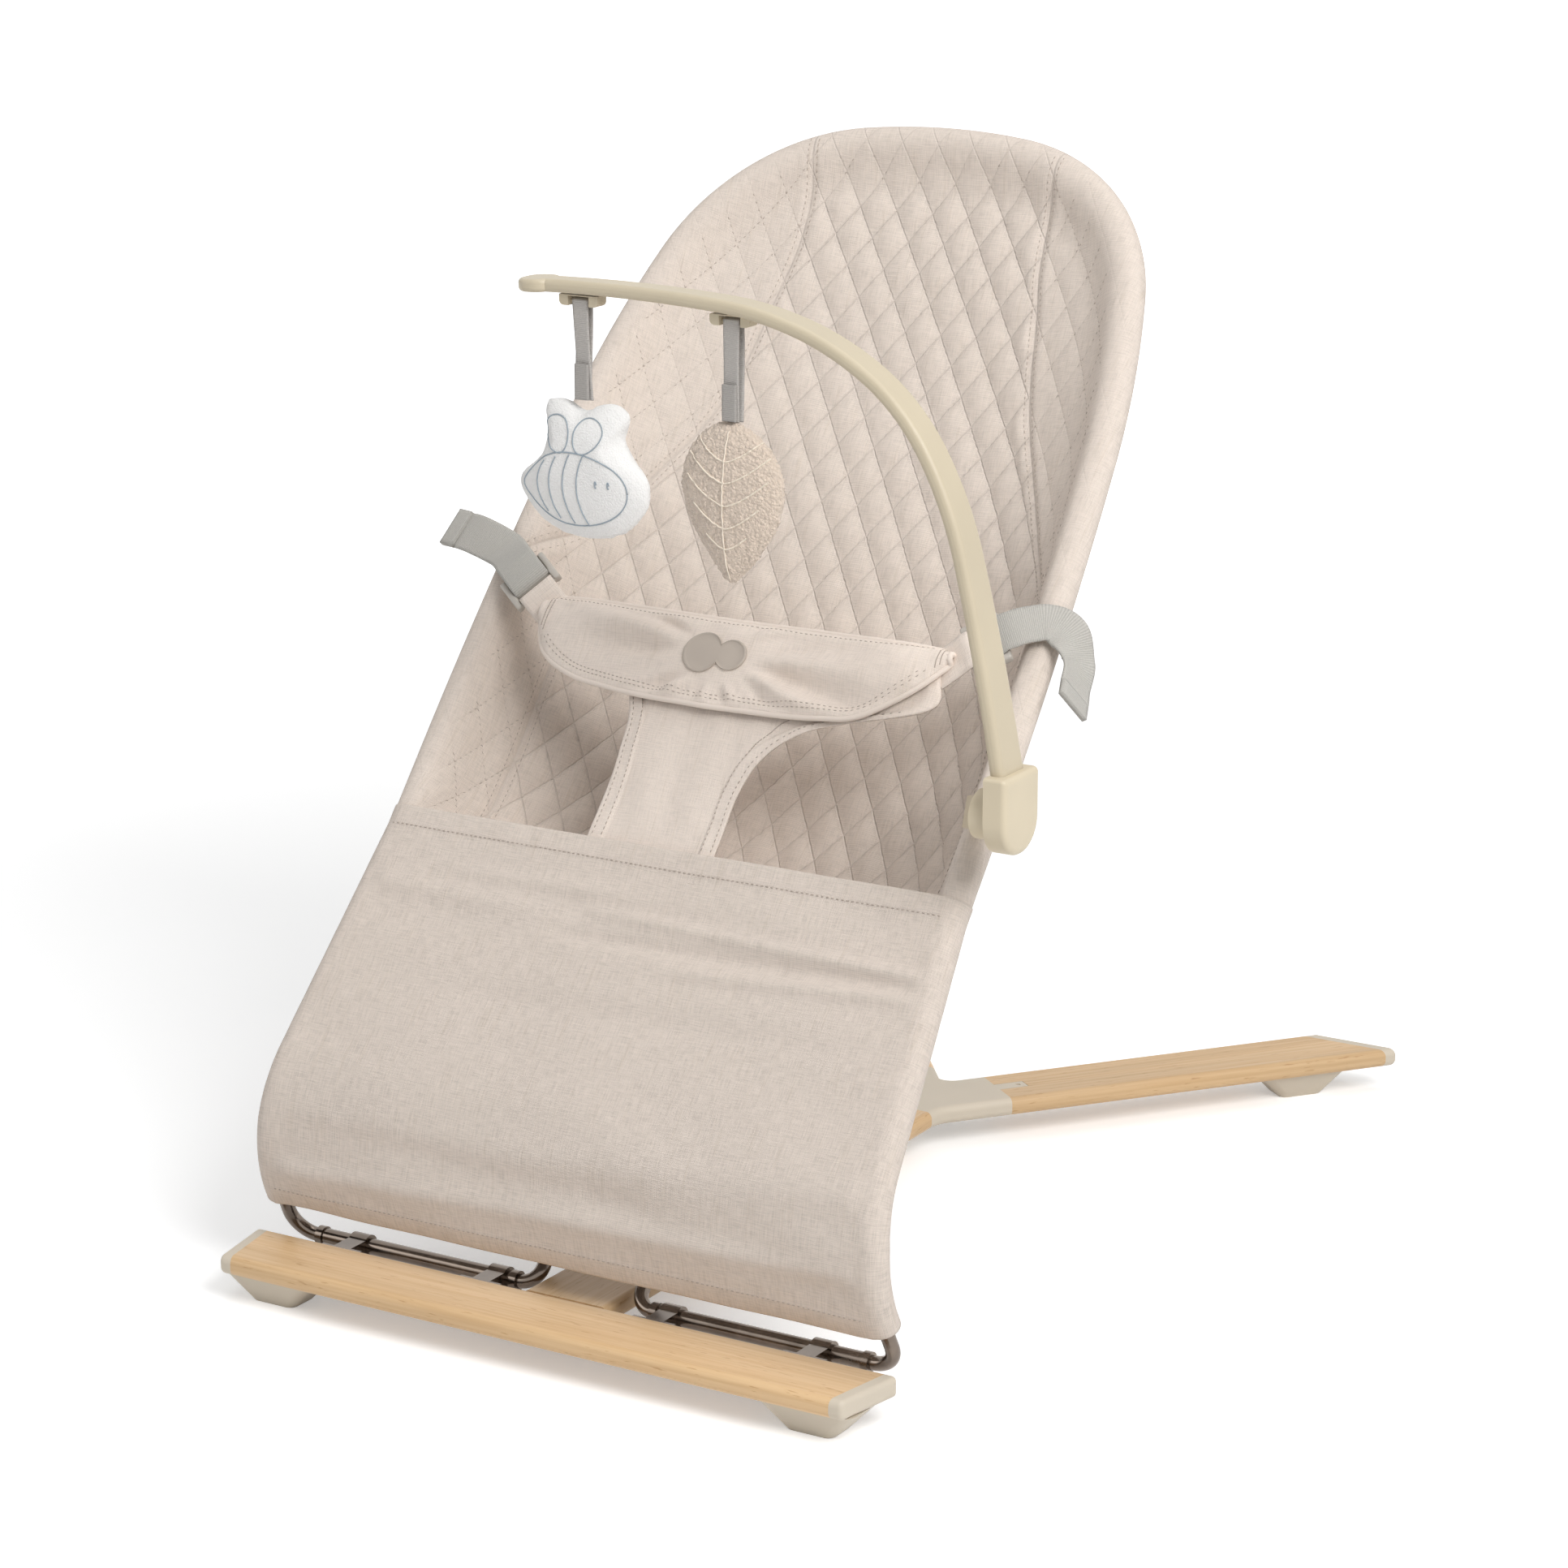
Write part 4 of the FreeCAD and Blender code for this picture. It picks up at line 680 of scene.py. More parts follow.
def finish_of(key):
    """The finish with that name, made once from the colours in the panel."""
    if key not in _made:
        c = bpy.context.scene.bouncer_colours
        makers = {
            "sling": lambda: cloth_material("sling_linen", tuple(c.sling), quilted=True),
            "lining": lambda: cloth_material("lining_linen", tuple(c.sling)),
            "front_sheet": lambda: cloth_material("front_sheet_linen", tuple(c.front_sheet), streaks=0.12),
            "flap": lambda: cloth_material("flap_linen", tuple(c.flap), streaks=0.08),
            "thread": lambda: material("sewing_thread", tuple(c.thread), 0.7),
            "beech_bar": lambda: wood_material("beech_across", tuple(c.wood), math.pi / 2),
            "beech_spine": lambda: wood_material("beech_lengthwise", tuple(c.wood)),
            "beech_right": lambda: wood_material("beech_right_leg", tuple(c.wood), math.radians(38.0)),
            "beech_left": lambda: wood_material("beech_left_leg", tuple(c.wood), math.radians(-38.0)),
            "plastic": lambda: plastic_material("ivory_plastic", tuple(c.plastic)),
            "toy_bar": lambda: plastic_material("toy_bar_plastic", tuple(c.toy_bar), 0.40),
            "socket": lambda: plastic_material("socket_plastic", shade(tuple(c.toy_bar), 1.12), 0.40),
            "rod": lambda: steel_material("black_nickel", tuple(c.rod), 0.20),
            "screw": lambda: steel_material("zinc_plate", (0.62, 0.62, 0.60), 0.3),
            "web": lambda: ribbed_material("grey_webbing", tuple(c.web), 0.0011),
            "ribbon": lambda: ribbed_material("grey_ribbon", tuple(c.ribbon), 0.0008),
            "ribbon_tab": lambda: ribbed_material("ribbon_doubled", shade(tuple(c.ribbon), 0.78), 0.0008),
            "slider": lambda: plastic_material("slider_plastic", tuple(c.slider), 0.45),
            "patch": lambda: plastic_material("patch_rubber", tuple(c.patch), 0.6),
            "bee": lambda: pile_material("white_plush", tuple(c.bee), 900, 0.0004, 0.03),
            "leaf": lambda: pile_material("peach_terry", tuple(c.leaf), 560, 0.0018, 0.10),
            "bee_thread": lambda: material("blue_grey_thread", (0.30, 0.355, 0.40), 0.6),
            "leaf_thread": lambda: material("cream_thread", (0.84, 0.745, 0.625), 0.6),
        }
        _made[key] = makers[key]()
    return _made[key]


# ---- the sling's surface -------------------------------------------------------------------------
sling_depth_at = curve_through([row[:2] for row in SLING_SHAPE])
squareness_at = curve_through([(row[0], row[2]) for row in SLING_SHAPE])
seam_at = curve_through(SEAM_LINE)


def rail_half_at(u):
    """Half distance between the rails at u."""
    rise, crown = rail_side(0.0, SLING_LOW_U, SHOULDER)
    line = np.concatenate([rise, crown[1:]])
    return np.interp(u, line[:, 1], line[:, 0])


RAIL_TABLE_U = np.linspace(0.2, RAIL_TOP, 500)
RAIL_TABLE_X = rail_half_at(RAIL_TABLE_U)


def sling_front(x, u):
    """Depth of the sling's front face, without quilting."""
    inset = inside_rail(x, u)
    half = np.maximum(np.interp(u, RAIL_TABLE_U, RAIL_TABLE_X) - 0.004, 0.02)
    share = np.clip(np.abs(x) / half, 0, 1)
    bowl = sling_depth_at(u) * (1 - share ** squareness_at(u)) * smooth(inset / WALL_START)
    roll = ROLL_RADIUS * 0.5 * (1 + np.cos(math.pi * np.clip(inset / FLANGE, 0, 1)))
    over = -np.sqrt(np.clip(ROLL_RADIUS ** 2 - inset ** 2, 0, None))
    return np.where(inset < 0, over, bowl - roll)


def sling_base(x, u):
    return seat_points(x, u, sling_front(x, u))


class ClothLengths:
    """Cloth lengths across and along the sling at a place, and the way back."""

    def __init__(self):
        self.u = np.linspace(SLING_LOW_U - 0.004, RAIL_TOP + ROLL_RADIUS + 0.002, 300)
        self.x = np.linspace(0.0, RAIL_X + 0.02, 200)
        depth = sling_front(*np.meshgrid(self.x, self.u))
        slope = np.clip(np.gradient(depth, self.x, axis=1), -2.5, 2.5)
        step = np.sqrt(1 + slope ** 2) * (self.x[1] - self.x[0])
        self.across = np.cumsum(step, axis=1) - step[:, :1]
        rise = np.sqrt(1 + np.gradient(sling_depth_at(self.u), self.u) ** 2)
        self.along = np.cumsum(rise) * (self.u[1] - self.u[0])

    def at(self, x, u):
        row = np.clip((u - self.u[0]) / (self.u[1] - self.u[0]), 0, len(self.u) - 1.001)
        column = np.clip(np.abs(x) / (self.x[1] - self.x[0]), 0, len(self.x) - 1.001)
        i, j = row.astype(int), column.astype(int)
        a, b = row - i, column - j
        s = ((self.across[i, j] * (1 - b) + self.across[i, j + 1] * b) * (1 - a)
             + (self.across[i + 1, j] * (1 - b) + self.across[i + 1, j + 1] * b) * a)
        return np.sign(x) * s, np.interp(u, self.u, self.along)

    def back(self, s, v):
        u = np.interp(v, self.along, self.u)
        rows = np.clip(((u - self.u[0]) / (self.u[1] - self.u[0])).round().astype(int), 0, len(self.u) - 1)
        x = np.array([np.interp(abs(a), self.across[i], self.x) for a, i in zip(s, rows)])
        return np.sign(s) * x, u


CLOTH = ClothLengths()


def seam_gap(x, u):
    """Signed distance from the nearest long seam of the sling."""
    inset = inside_rail(x, u)
    side = np.where(u > 0.405, np.abs(x) - seam_at(u), 1.0)
    casing = np.where(u < 0.415, inset - CASING_SEAM, 1.0)
    return np.where(np.abs(side) < np.abs(casing), side, casing)


def quilting_at(x, u):
    """1 where the quilting is deep, less in the side panels, least on the casings round the rods."""
    side = smooth((np.abs(x) - seam_at(u)) / 0.006) * smooth((u - 0.40) / 0.03)
    casing = 1 - smooth((inside_rail(x, u) - CASING_SEAM + 0.004) / 0.012)
    return (1 - 0.62 * side) * (1 - casing * np.where(u < 0.43, 0.75, 0.45))


def sling_relief(x, u):
    """How far quilting, seams and soft wrinkles lift the sling's face."""
    s, v = CLOTH.at(x, u)
    p, q = s / QUILT_WIDE + v / QUILT_HIGH, s / QUILT_WIDE - v / QUILT_HIGH
    puff = (np.abs(np.sin(math.pi * p)) * np.abs(np.sin(math.pi * q))) ** 0.45
    inset = inside_rail(x, u)
    middle = quilting_at(x, u)
    gap = seam_gap(x, u)
    clear = 1 - np.exp(-(gap / 0.005) ** 2)
    soft = wander(np.stack(np.broadcast_arrays(x, u, 0.0 * x), axis=-1), 0.055, 1)
    return (QUILT_PUFF * (puff - 0.5) * middle * clear * smooth(inset / 0.03)
            - 0.0012 * np.exp(-(gap / 0.0022) ** 2) * smooth(inset / 0.02)
            + 0.0005 * np.exp(-((np.abs(gap) - 0.0062) / 0.0028) ** 2) * smooth(inset / 0.02)
            + 0.0016 * soft * smooth(inset / 0.03))


def sling_surface(x, u):
    here, n = surface_frame(sling_base, x, u)
    return here + n * sling_relief(x, u)[..., None]


def sling_places():
    """x and u of the sling's grid, from the bottom edge up, reaching round the outside of the rods."""
    rise, crown = rail_side(-ROLL_RADIUS * 0.999, SLING_LOW_U, SHOULDER)
    up = np.linspace(0, 1, SLING_ROWS)
    up = 1 - (0.6 * (1 - up) + 0.4 * (1 - up) ** 2)
    over = np.linspace(0, 1, SLING_COLUMNS)
    over = over - 0.4 * np.sin(2 * math.pi * over) / (2 * math.pi)
    right = along(rise, up)
    left = right * (-1, 1)
    top = along(even(np.concatenate([crown * (-1, 1), crown[::-1][1:]]), 900), over)
    bottom = left[0] * (1 - over[:, None]) + right[0] * over[:, None]
    s, t = over[None, :, None], up[:, None, None]
    grid = (left[:, None] * (1 - s) + right[:, None] * s + bottom[None] * (1 - t) + top[None] * t
            - (left[0] * (1 - s) * (1 - t) + right[0] * s * (1 - t) + left[-1] * (1 - s) * t
               + right[-1] * s * t))
    return grid[..., 0], grid[..., 1]


def build_sling():
    """The quilted sling, rolled round the rods at its edges, as one closed padded piece."""
    x, u = sling_places()
    inset = inside_rail(x, u)
    front, n = surface_frame(sling_base, x, u)
    relief = sling_relief(x, u)
    behind = np.sqrt(np.clip(ROLL_RADIUS ** 2 - inset ** 2, 0, None))
    depth = sling_front(x, u)
    back = seat_points(x, u, np.maximum(depth + 0.0005, behind))
    thick = np.where(depth + SLING_THICKNESS > behind, SLING_THICKNESS, 0.0)[..., None]
    back = np.where(thick > 0, front - n * (thick - 0.3 * relief[..., None]), back)
    front = front + n * relief[..., None]
    rows, columns = x.shape
    total = rows * columns
    near = np.arange(total).reshape(rows, columns)
    far = near + total
    for edge in ((0, slice(None)), (-1, slice(None)), (slice(None), 0), (slice(None), -1)):
        far[edge] = near[edge]
    verts = np.concatenate([front.reshape(-1, 3), back.reshape(-1, 3)])
    faces = np.concatenate([
        np.stack([g[:-1, :-1], g[:-1, 1:], g[1:, 1:], g[1:, :-1]], axis=-1).reshape(-1, 4)
        for g in (near, far)])
    used = np.unique(faces)
    place = np.full(2 * total, -1)
    place[used] = np.arange(len(used))
    s, v = CLOTH.at(x, u)
    uv = np.concatenate([np.stack([s, v], axis=-1).reshape(-1, 2)] * 2)[used]
    seam = np.concatenate([seam_gap(x, u).ravel(), np.full(total, 1.0)])[used]
    # depth of the painted shade along the quilting lines: the quilting depth, full on the seams, 0.4 on the
    # back face
    crease_shade_depth = np.concatenate([np.maximum(quilting_at(x, u), np.exp(-(seam_gap(x, u) / 0.004) ** 2)).ravel(),
                            np.full(total, 0.4)])[used]
    sling = add_mesh("seat_sling", verts[used], place[faces], uv, {"seam": seam, "crease_shade_depth": crease_shade_depth})
    point_outwards(sling)
    paint(sling, finish_of("sling"))
    return sling


def sling_stitches():
    """Thread along the quilting lines, the side seams and the casing seams."""
    places, heads = [], []
    v = np.arange(CLOTH.along[0] + 0.012, CLOTH.along[-1] - 0.004, 0.0036)
    for sign in (-1, 1):
        for k in range(-30, 31):
            s = QUILT_WIDE * (k - sign * v / QUILT_HIGH)
            keep = np.abs(s) < 0.30
            if not keep.any():
                continue
            x, u = CLOTH.back(s[keep], v[keep])
            places.append(np.stack([x, u], axis=1))
            heads.append(np.tile((-sign * QUILT_WIDE, QUILT_HIGH), (len(x), 1)))
    spots, heads = np.concatenate(places), np.concatenate(heads)
    inset = inside_rail(spots[:, 0], spots[:, 1])
    inside = (inset > 0.012) & (np.abs(seam_gap(spots[:, 0], spots[:, 1])) > 0.004)
    spots, heads = [spots[inside]], [heads[inside]]
    u = np.arange(0.42, 0.733, 0.0036)
    for side in (-1, 1):
        for shift in (-0.0030, 0.0030):
            line = np.stack([side * (seam_at(u) + shift), u], axis=1)
            spots.append(line)
            heads.append(np.gradient(line, axis=0))
        low = np.arange(0.248, 0.40, 0.0036)
        for shift in (-0.0028, 0.0028):
            line = np.stack([side * (np.interp(low, RAIL_TABLE_U, RAIL_TABLE_X) - CASING_SEAM + shift),
                             low], axis=1)
            spots.append(line)
            heads.append(np.gradient(line, axis=0))
    spots, heads = np.concatenate(spots), np.concatenate(heads)
    x, u = spots[:, 0], spots[:, 1]
    n = surface_frame(sling_base, x, u)[1]
    here = sling_surface(x, u)
    step = unit(heads) * 5e-4
    ahead = sling_base(x + step[:, 0], u + step[:, 1]) - sling_base(x, u)
    return stitches("sling_stitches", here + n * 0.00015, unit(ahead), n, finish_of("thread"), 0.0023,
                    0.0005)


# ---- the front sheet -----------------------------------------------------------------------------
def panel_spine():
    """Middle line of the rails' profile, from the sheet's bottom hem up to its top hem."""
    top, bend, heel = (seat_points(0.0, u, 0.0) for u in (PANEL_TOP_U, BEND_U, 0.0))
    heel = PIVOT
    down = unit(heel - bend)
    low = heel - down * PANEL_START
    half_turn = math.acos(float(np.clip(np.dot(down, -ALONG), -1, 1))) / 2
    reach = BEND_RADIUS * math.tan(half_turn)
    start, end = bend + down * reach, bend + ALONG * reach
    inward = unit((start + end) / 2 - bend)
    center = bend + inward * (BEND_RADIUS / math.cos(half_turn))
    arc = [center + unit((start - center) * (1 - t) + (end - center) * t) * BEND_RADIUS
           for t in np.linspace(0, 1, 60)]
    return even(np.array([low] + arc + [top]), 600)


PANEL_SPINE = panel_spine()
PANEL_LENGTH = float(np.linalg.norm(np.diff(PANEL_SPINE, axis=0), axis=1).sum())
PANEL_HALF = np.interp(PANEL_SPINE[:, 2], (0.0, seat_points(0.0, BEND_U, 0.0)[2],
                                           seat_points(0.0, KNEE_U, 0.0)[2]),
                       (HEEL_X, BEND_X, RAIL_X))


def crease(along_it, across_it, middle, slope, width, height, start, end):
    """One soft fold at middle, leaning by slope, that fades in and out between start and end."""
    fade = smooth((along_it - start) / 0.06) * smooth((end - along_it) / 0.06)
    return height * fade * np.exp(-((across_it - middle - slope * along_it) / width) ** 2)


def panel_wrinkles(x, w):
    """Lift of the front sheet: folds pulled from the rails, a soft band over the bottom hem, fine waves."""
    lift = np.zeros(np.broadcast(x, w).shape)
    top = PANEL_LENGTH
    for middle, slope, width, height, start, end in (
            (top - 0.045, -0.03, 0.0042, 0.0013, -0.06, 0.22),
            (top - 0.060, 0.02, 0.0048, -0.0012, -0.08, 0.22),
            (top - 0.074, 0.05, 0.0045, 0.0012, 0.00, 0.22),
            (top - 0.105, 0.03, 0.010, -0.0009, -0.14, 0.20),
            (top - 0.032, 0.02, 0.005, 0.0009, -0.16, 0.02),
            (top - 0.052, -0.02, 0.007, 0.0010, -0.22, -0.04),
            (0.030, 0.02, 0.006, 0.0012, -0.23, 0.23), (0.045, -0.03, 0.009, -0.0012, -0.23, 0.10),
            (0.062, 0.06, 0.010, 0.0010, -0.05, 0.23)):
        lift = lift + crease(x, w, middle, slope, width, height, start, end)
    for side in (-1, 1):
        pull = np.exp(-((side * x - 0.178) / 0.03) ** 2)
        lift = lift + 0.0008 * pull * np.sin(w / 0.0065 + side) * np.exp(-((w - 0.03) / 0.035) ** 2)
    soft = wander(np.stack(np.broadcast_arrays(x * 0.40, w, 0.0 * x), axis=-1), 0.028, 4)
    return 1.9 * lift + 0.0016 * soft


def panel_surface(s, w):
    """The front sheet's face at s across the cloth from its middle and w up from its bottom hem."""
    s, w = np.broadcast_arrays(np.asarray(s, float), np.asarray(w, float))
    place = np.clip(w / PANEL_LENGTH, 0, 1) * (len(PANEL_SPINE) - 1)
    i = np.clip(place.astype(int), 0, len(PANEL_SPINE) - 2)
    t = place - i
    spine = PANEL_SPINE[i] * (1 - t)[..., None] + PANEL_SPINE[i + 1] * t[..., None]
    ahead = unit(PANEL_SPINE[i + 1] - PANEL_SPINE[i])
    out = np.cross(ACROSS, ahead)
    half = PANEL_HALF[i] * (1 - t) + PANEL_HALF[i + 1] * t
    a = np.abs(s)
    turn = np.clip((a - half) / PANEL_WRAP, 0, math.pi)
    beyond = np.clip(a - half - math.pi * PANEL_WRAP, 0, None)
    share = np.clip(a / half, 0, 1)
    hem = smooth(w / 0.05) * smooth((PANEL_LENGTH - w) / 0.06)
    sag = (0.0005 + 0.0045 * hem) * (1 - share ** 2)
    flat = smooth((1 - share) / 0.06)
    lift = panel_wrinkles(s, w) * flat - sag
    folded = 0.0006 * (smooth((HEM_FOLD - w) / 0.001) + smooth((w - (PANEL_LENGTH - HEM_FOLD)) / 0.001))
    x = np.sign(s) * (np.minimum(a, half) + PANEL_WRAP * np.sin(turn) - beyond)
    return (spine + x[..., None] * ACROSS + out * (PANEL_WRAP * np.cos(turn)
                                                   + (lift + folded) * (turn <= 0))[..., None])


def build_front_sheet():
    """The front sheet wrapped round both rods, tucked in behind them, with its two hems."""
    reach = float(PANEL_HALF.max()) + math.pi * PANEL_WRAP + PANEL_TUCK
    columns = np.concatenate([np.linspace(-reach, -0.178, 36), np.linspace(-0.176, 0.176, 128),
                              np.linspace(0.178, reach, 36)])
    rows = np.concatenate([np.linspace(0, 0.016, 12), np.linspace(0.018, PANEL_LENGTH - 0.018, 128),
                           np.linspace(PANEL_LENGTH - 0.016, PANEL_LENGTH, 12)])
    s, w = np.meshgrid(columns, rows)
    sheet = thick_sheet("leg_panel_cloth", panel_surface(s, w), PANEL_THICKNESS, np.stack([s, w], axis=-1))
    paint(sheet, finish_of("front_sheet"))
    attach(sheet, "seat")
    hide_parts("leg_panel")
    lines = []
    for w0, s_end in ((PANEL_LENGTH - 0.0124, 0.188), (0.0118, 0.2)):
        s = np.arange(-s_end, s_end, 0.0033)
        lines.append(np.stack([s, np.full_like(s, w0)], axis=1))
    spots = np.concatenate(lines)
    here, n = surface_frame(panel_surface, spots[:, 0], spots[:, 1])
    ahead = np.tile(ACROSS, (len(spots), 1))
    thread = stitches("leg_panel_stitches", here + n * 0.0001, ahead, n, finish_of("thread"), 0.0022,
                      0.00065)
    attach(thread, "seat")


# ---- the restraint -------------------------------------------------------------------------------
flap_low_at = curve_through(((0.0, 0.332), (0.070, 0.336), (0.105, 0.343), (0.125, 0.353), (0.139, 0.366)))
flap_high_at = curve_through(((0.0, 0.389), (0.070, 0.391), (0.118, 0.393), (0.139, 0.393)))
flap_depth_at = curve_through(((0.0, -0.0262), (0.070, -0.0232), (0.118, -0.0185), (0.139, -0.0155)))
crotch_left_at = curve_through((
    (0.226, -0.058), (0.252, -0.0565), (0.300, -0.053), (0.330, -0.056), (0.345, -0.066),
    (0.355, -0.090), (0.362, -0.120), (0.380, -0.130)))
crotch_right_at = curve_through((
    (0.226, 0.030), (0.260, 0.031), (0.290, 0.0345), (0.306, 0.041), (0.320, 0.053),
    (0.330, 0.068), (0.338, 0.088), (0.345, 0.110), (0.353, 0.130), (0.380, 0.134)))


def flap_edges(x):
    """Lower and upper edge of the waist flap at x: a round left end and a slanting right end."""
    a = np.abs(x)
    corner = np.clip((a - (FLAP_HALF - 0.012)) / 0.012, 0, 1)
    turn = 0.011 * (1 - np.sqrt(1 - corner ** 2))
    slant = 0.017 * smooth((x - 0.085) / 0.055)
    return (flap_low_at(a) + np.where(x < 0, turn * 1.1, slant + turn * 0.2),
            flap_high_at(a) - turn * np.where(x < 0, 0.5, 0.25))


def flap_surface(x, share):
    """The waist flap's face: share goes from 0 at its lower edge to 1 at its upper edge."""
    x, share = np.broadcast_arrays(np.asarray(x, float), np.asarray(share, float))
    low, high = flap_edges(x)
    u = low + (high - low) * share
    middle = seat_gap_to_patch(x, u)
    rim = smooth(share / 0.16) * smooth((1 - share) / 0.22) * smooth((FLAP_HALF - np.abs(x)) / 0.02)
    angle = np.arctan2(u - PATCH_U, x - PATCH_X)
    rays = np.sin(angle * 11.0 + 1.2 * np.sin(angle * 2.0) + 0.6) * 0.6 + 0.4 * np.sin(angle * 19.0 + 2.0)
    spread = smooth((middle - 0.022) / 0.03) * smooth((0.125 - middle) / 0.05)
    soft = wander(np.stack([x, u, 0.0 * x], axis=-1), 0.030, 7)
    crown = 0.0042 * np.sqrt(np.clip(np.sin(math.pi * np.clip(share, 0, 1)), 0, 1))
    lift = crown + rim * (0.0044 * rays * spread + 0.0030 * soft)
    roll = 0.0030 * smooth((share - 0.90) / 0.10)
    return seat_points(x, u, flap_depth_at(np.abs(x)) - lift + roll)


def seat_gap_to_patch(x, u):
    return np.hypot(x - PATCH_X, (u - PATCH_U) * 1.6)


def build_flap():
    """The padded waist flap with its bound edge and two rows of stitches."""
    x = FLAP_HALF * np.sin(np.linspace(-1, 1, 150) * math.pi / 2 * 0.985)
    x = x / np.abs(x).max() * (FLAP_HALF - 0.0001)
    share = np.linspace(0, 1, 56)
    grid_x, grid_share = np.meshgrid(x, share)
    low, high = flap_edges(grid_x)
    edge = np.minimum(np.minimum(grid_share, 1 - grid_share) * (high - low),
                      FLAP_HALF - np.abs(grid_x) + 0.001)
    thick = 0.0022 + 0.0034 * smooth(edge / 0.016)
    uv = np.stack([grid_x, low + (high - low) * grid_share], axis=-1)
    pad = thick_sheet("waist_flap_pad", flap_surface(grid_x, grid_share), thick, uv)
    paint(pad, finish_of("flap"))
    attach(pad, "seat")
    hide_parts("waist_flap")

    ring = np.concatenate([
        np.stack([x, np.zeros_like(x)], axis=1),
        np.stack([np.full(12, x[-1]), np.linspace(0, 1, 12)], axis=1)[1:-1],
        np.stack([x[::-1], np.ones_like(x)], axis=1),
        np.stack([np.full(12, x[0]), np.linspace(1, 0, 12)], axis=1)[1:-1]])
    place = flap_surface(ring[:, 0], ring[:, 1]) + BEHIND * 0.0010
    binding = tube("waist_flap_binding", even(np.concatenate([place, place[:1]]), 330)[:-1], 0.0019, 10,
                   True,
                   1.0, -BEHIND)
    paint(binding, finish_of("flap"))
    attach(binding, "seat")

    spots = []
    for inset in (0.0042, 0.0066):
        a = np.arange(-FLAP_HALF + 0.006 + inset, FLAP_HALF - 0.006 - inset, 0.0032)
        low, high = flap_edges(a)
        spots.append(np.stack([a, inset / (high - low) * (1 + 1.2 * (np.abs(a) / FLAP_HALF) ** 8)], axis=1))
        for side in (-1, 1):
            b = np.linspace(0.25, 0.93, 13)
            spots.append(np.stack([np.full_like(b, side * (FLAP_HALF - inset)), b], axis=1))
    a = np.arange(-FLAP_HALF + 0.01, FLAP_HALF - 0.01, 0.0032)
    spots.append(np.stack([a, np.full_like(a, 0.93)], axis=1))
    lines = [surface_frame(flap_surface, p[:, 0], p[:, 1]) for p in spots]
    here = np.concatenate([p + n * 0.0001 for p, n in lines])
    ahead = np.concatenate([unit(np.gradient(p, axis=0)) for p, n in lines])
    thread = stitches("waist_flap_stitches", here, ahead, np.concatenate([n for p, n in lines]),
                      finish_of("thread"), 0.0022, 0.00065)
    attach(thread, "seat")


def crotch_surface(share, u):
    """The crotch strap's face: share goes from 0 at its left edge to 1 at its right edge."""
    share, u = np.broadcast_arrays(np.asarray(share, float), np.asarray(u, float))
    left, right = crotch_left_at(u), crotch_right_at(u)
    x = left + (right - left) * share
    lift = 0.0068 + 0.0125 * smooth((u - 0.244) / 0.105)
    lift = lift * (1 - 0.45 * np.clip(np.abs(x) / 0.139, 0, 1) ** 2)
    soft = wander(np.stack([x * 1.6, u * 0.5, 0.0 * x], axis=-1), 0.026, 11)
    edge = np.minimum(x - left, right - x)
    folded = 0.0012 * (1 - smooth((edge - 0.0095) / 0.0014))
    bow = 0.0016 * np.sin(math.pi * share) * smooth((u - 0.25) / 0.03)
    return seat_points(x, u, -lift - folded - bow
                       - 0.0014 * soft * smooth(edge / 0.01) * smooth((u - 0.25) / 0.02))


CROTCH_LOW_U, CROTCH_HIGH_U = 0.228, 0.379
CROTCH_THICKNESS = 0.0018


def build_crotch_strap():
    """The crotch strap, which widens under the flap into two arms."""
    share = np.linspace(0, 1, 90)
    u = np.linspace(CROTCH_LOW_U, CROTCH_HIGH_U, 110)
    grid_share, grid_u = np.meshgrid(share, u)
    left, right = crotch_left_at(grid_u), crotch_right_at(grid_u)
    uv = np.stack([left + (right - left) * grid_share, grid_u], axis=-1)
    strap_piece = thick_sheet("crotch_strap_cloth", crotch_surface(grid_share, grid_u), CROTCH_THICKNESS, uv)
    paint(strap_piece, finish_of("flap"))
    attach(strap_piece, "seat")
    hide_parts("crotch_strap")
    area = float(np.mean(crotch_right_at(u) - crotch_left_at(u)) * (u[-1] - u[0]))
    lines = []
    for side in (0, 1):
        for inset in (0.0028, 0.0092):
            a = np.arange(0.250, 0.352, 0.0028)
            width = crotch_right_at(a) - crotch_left_at(a)
            lean = np.sqrt(1 + np.gradient(crotch_right_at(a) if side else crotch_left_at(a), a) ** 2)
            part = inset * lean / width
            lines.append(np.stack([1 - part if side else part, a], axis=1))
    lines = [even(p, max(8, int(np.linalg.norm(np.diff(p, axis=0), axis=1).sum() / 0.0032)))
             for p in lines]
    found = [surface_frame(crotch_surface, p[:, 0], p[:, 1]) for p in lines]
    thread = stitches("crotch_strap_stitches", np.concatenate([p + n * 0.0001 for p, n in found]),
                      np.concatenate([unit(np.gradient(p, axis=0)) for p, n in found]),
                      np.concatenate([n for p, n in found]), finish_of("thread"), 0.0022, 0.00065)
    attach(thread, "seat")


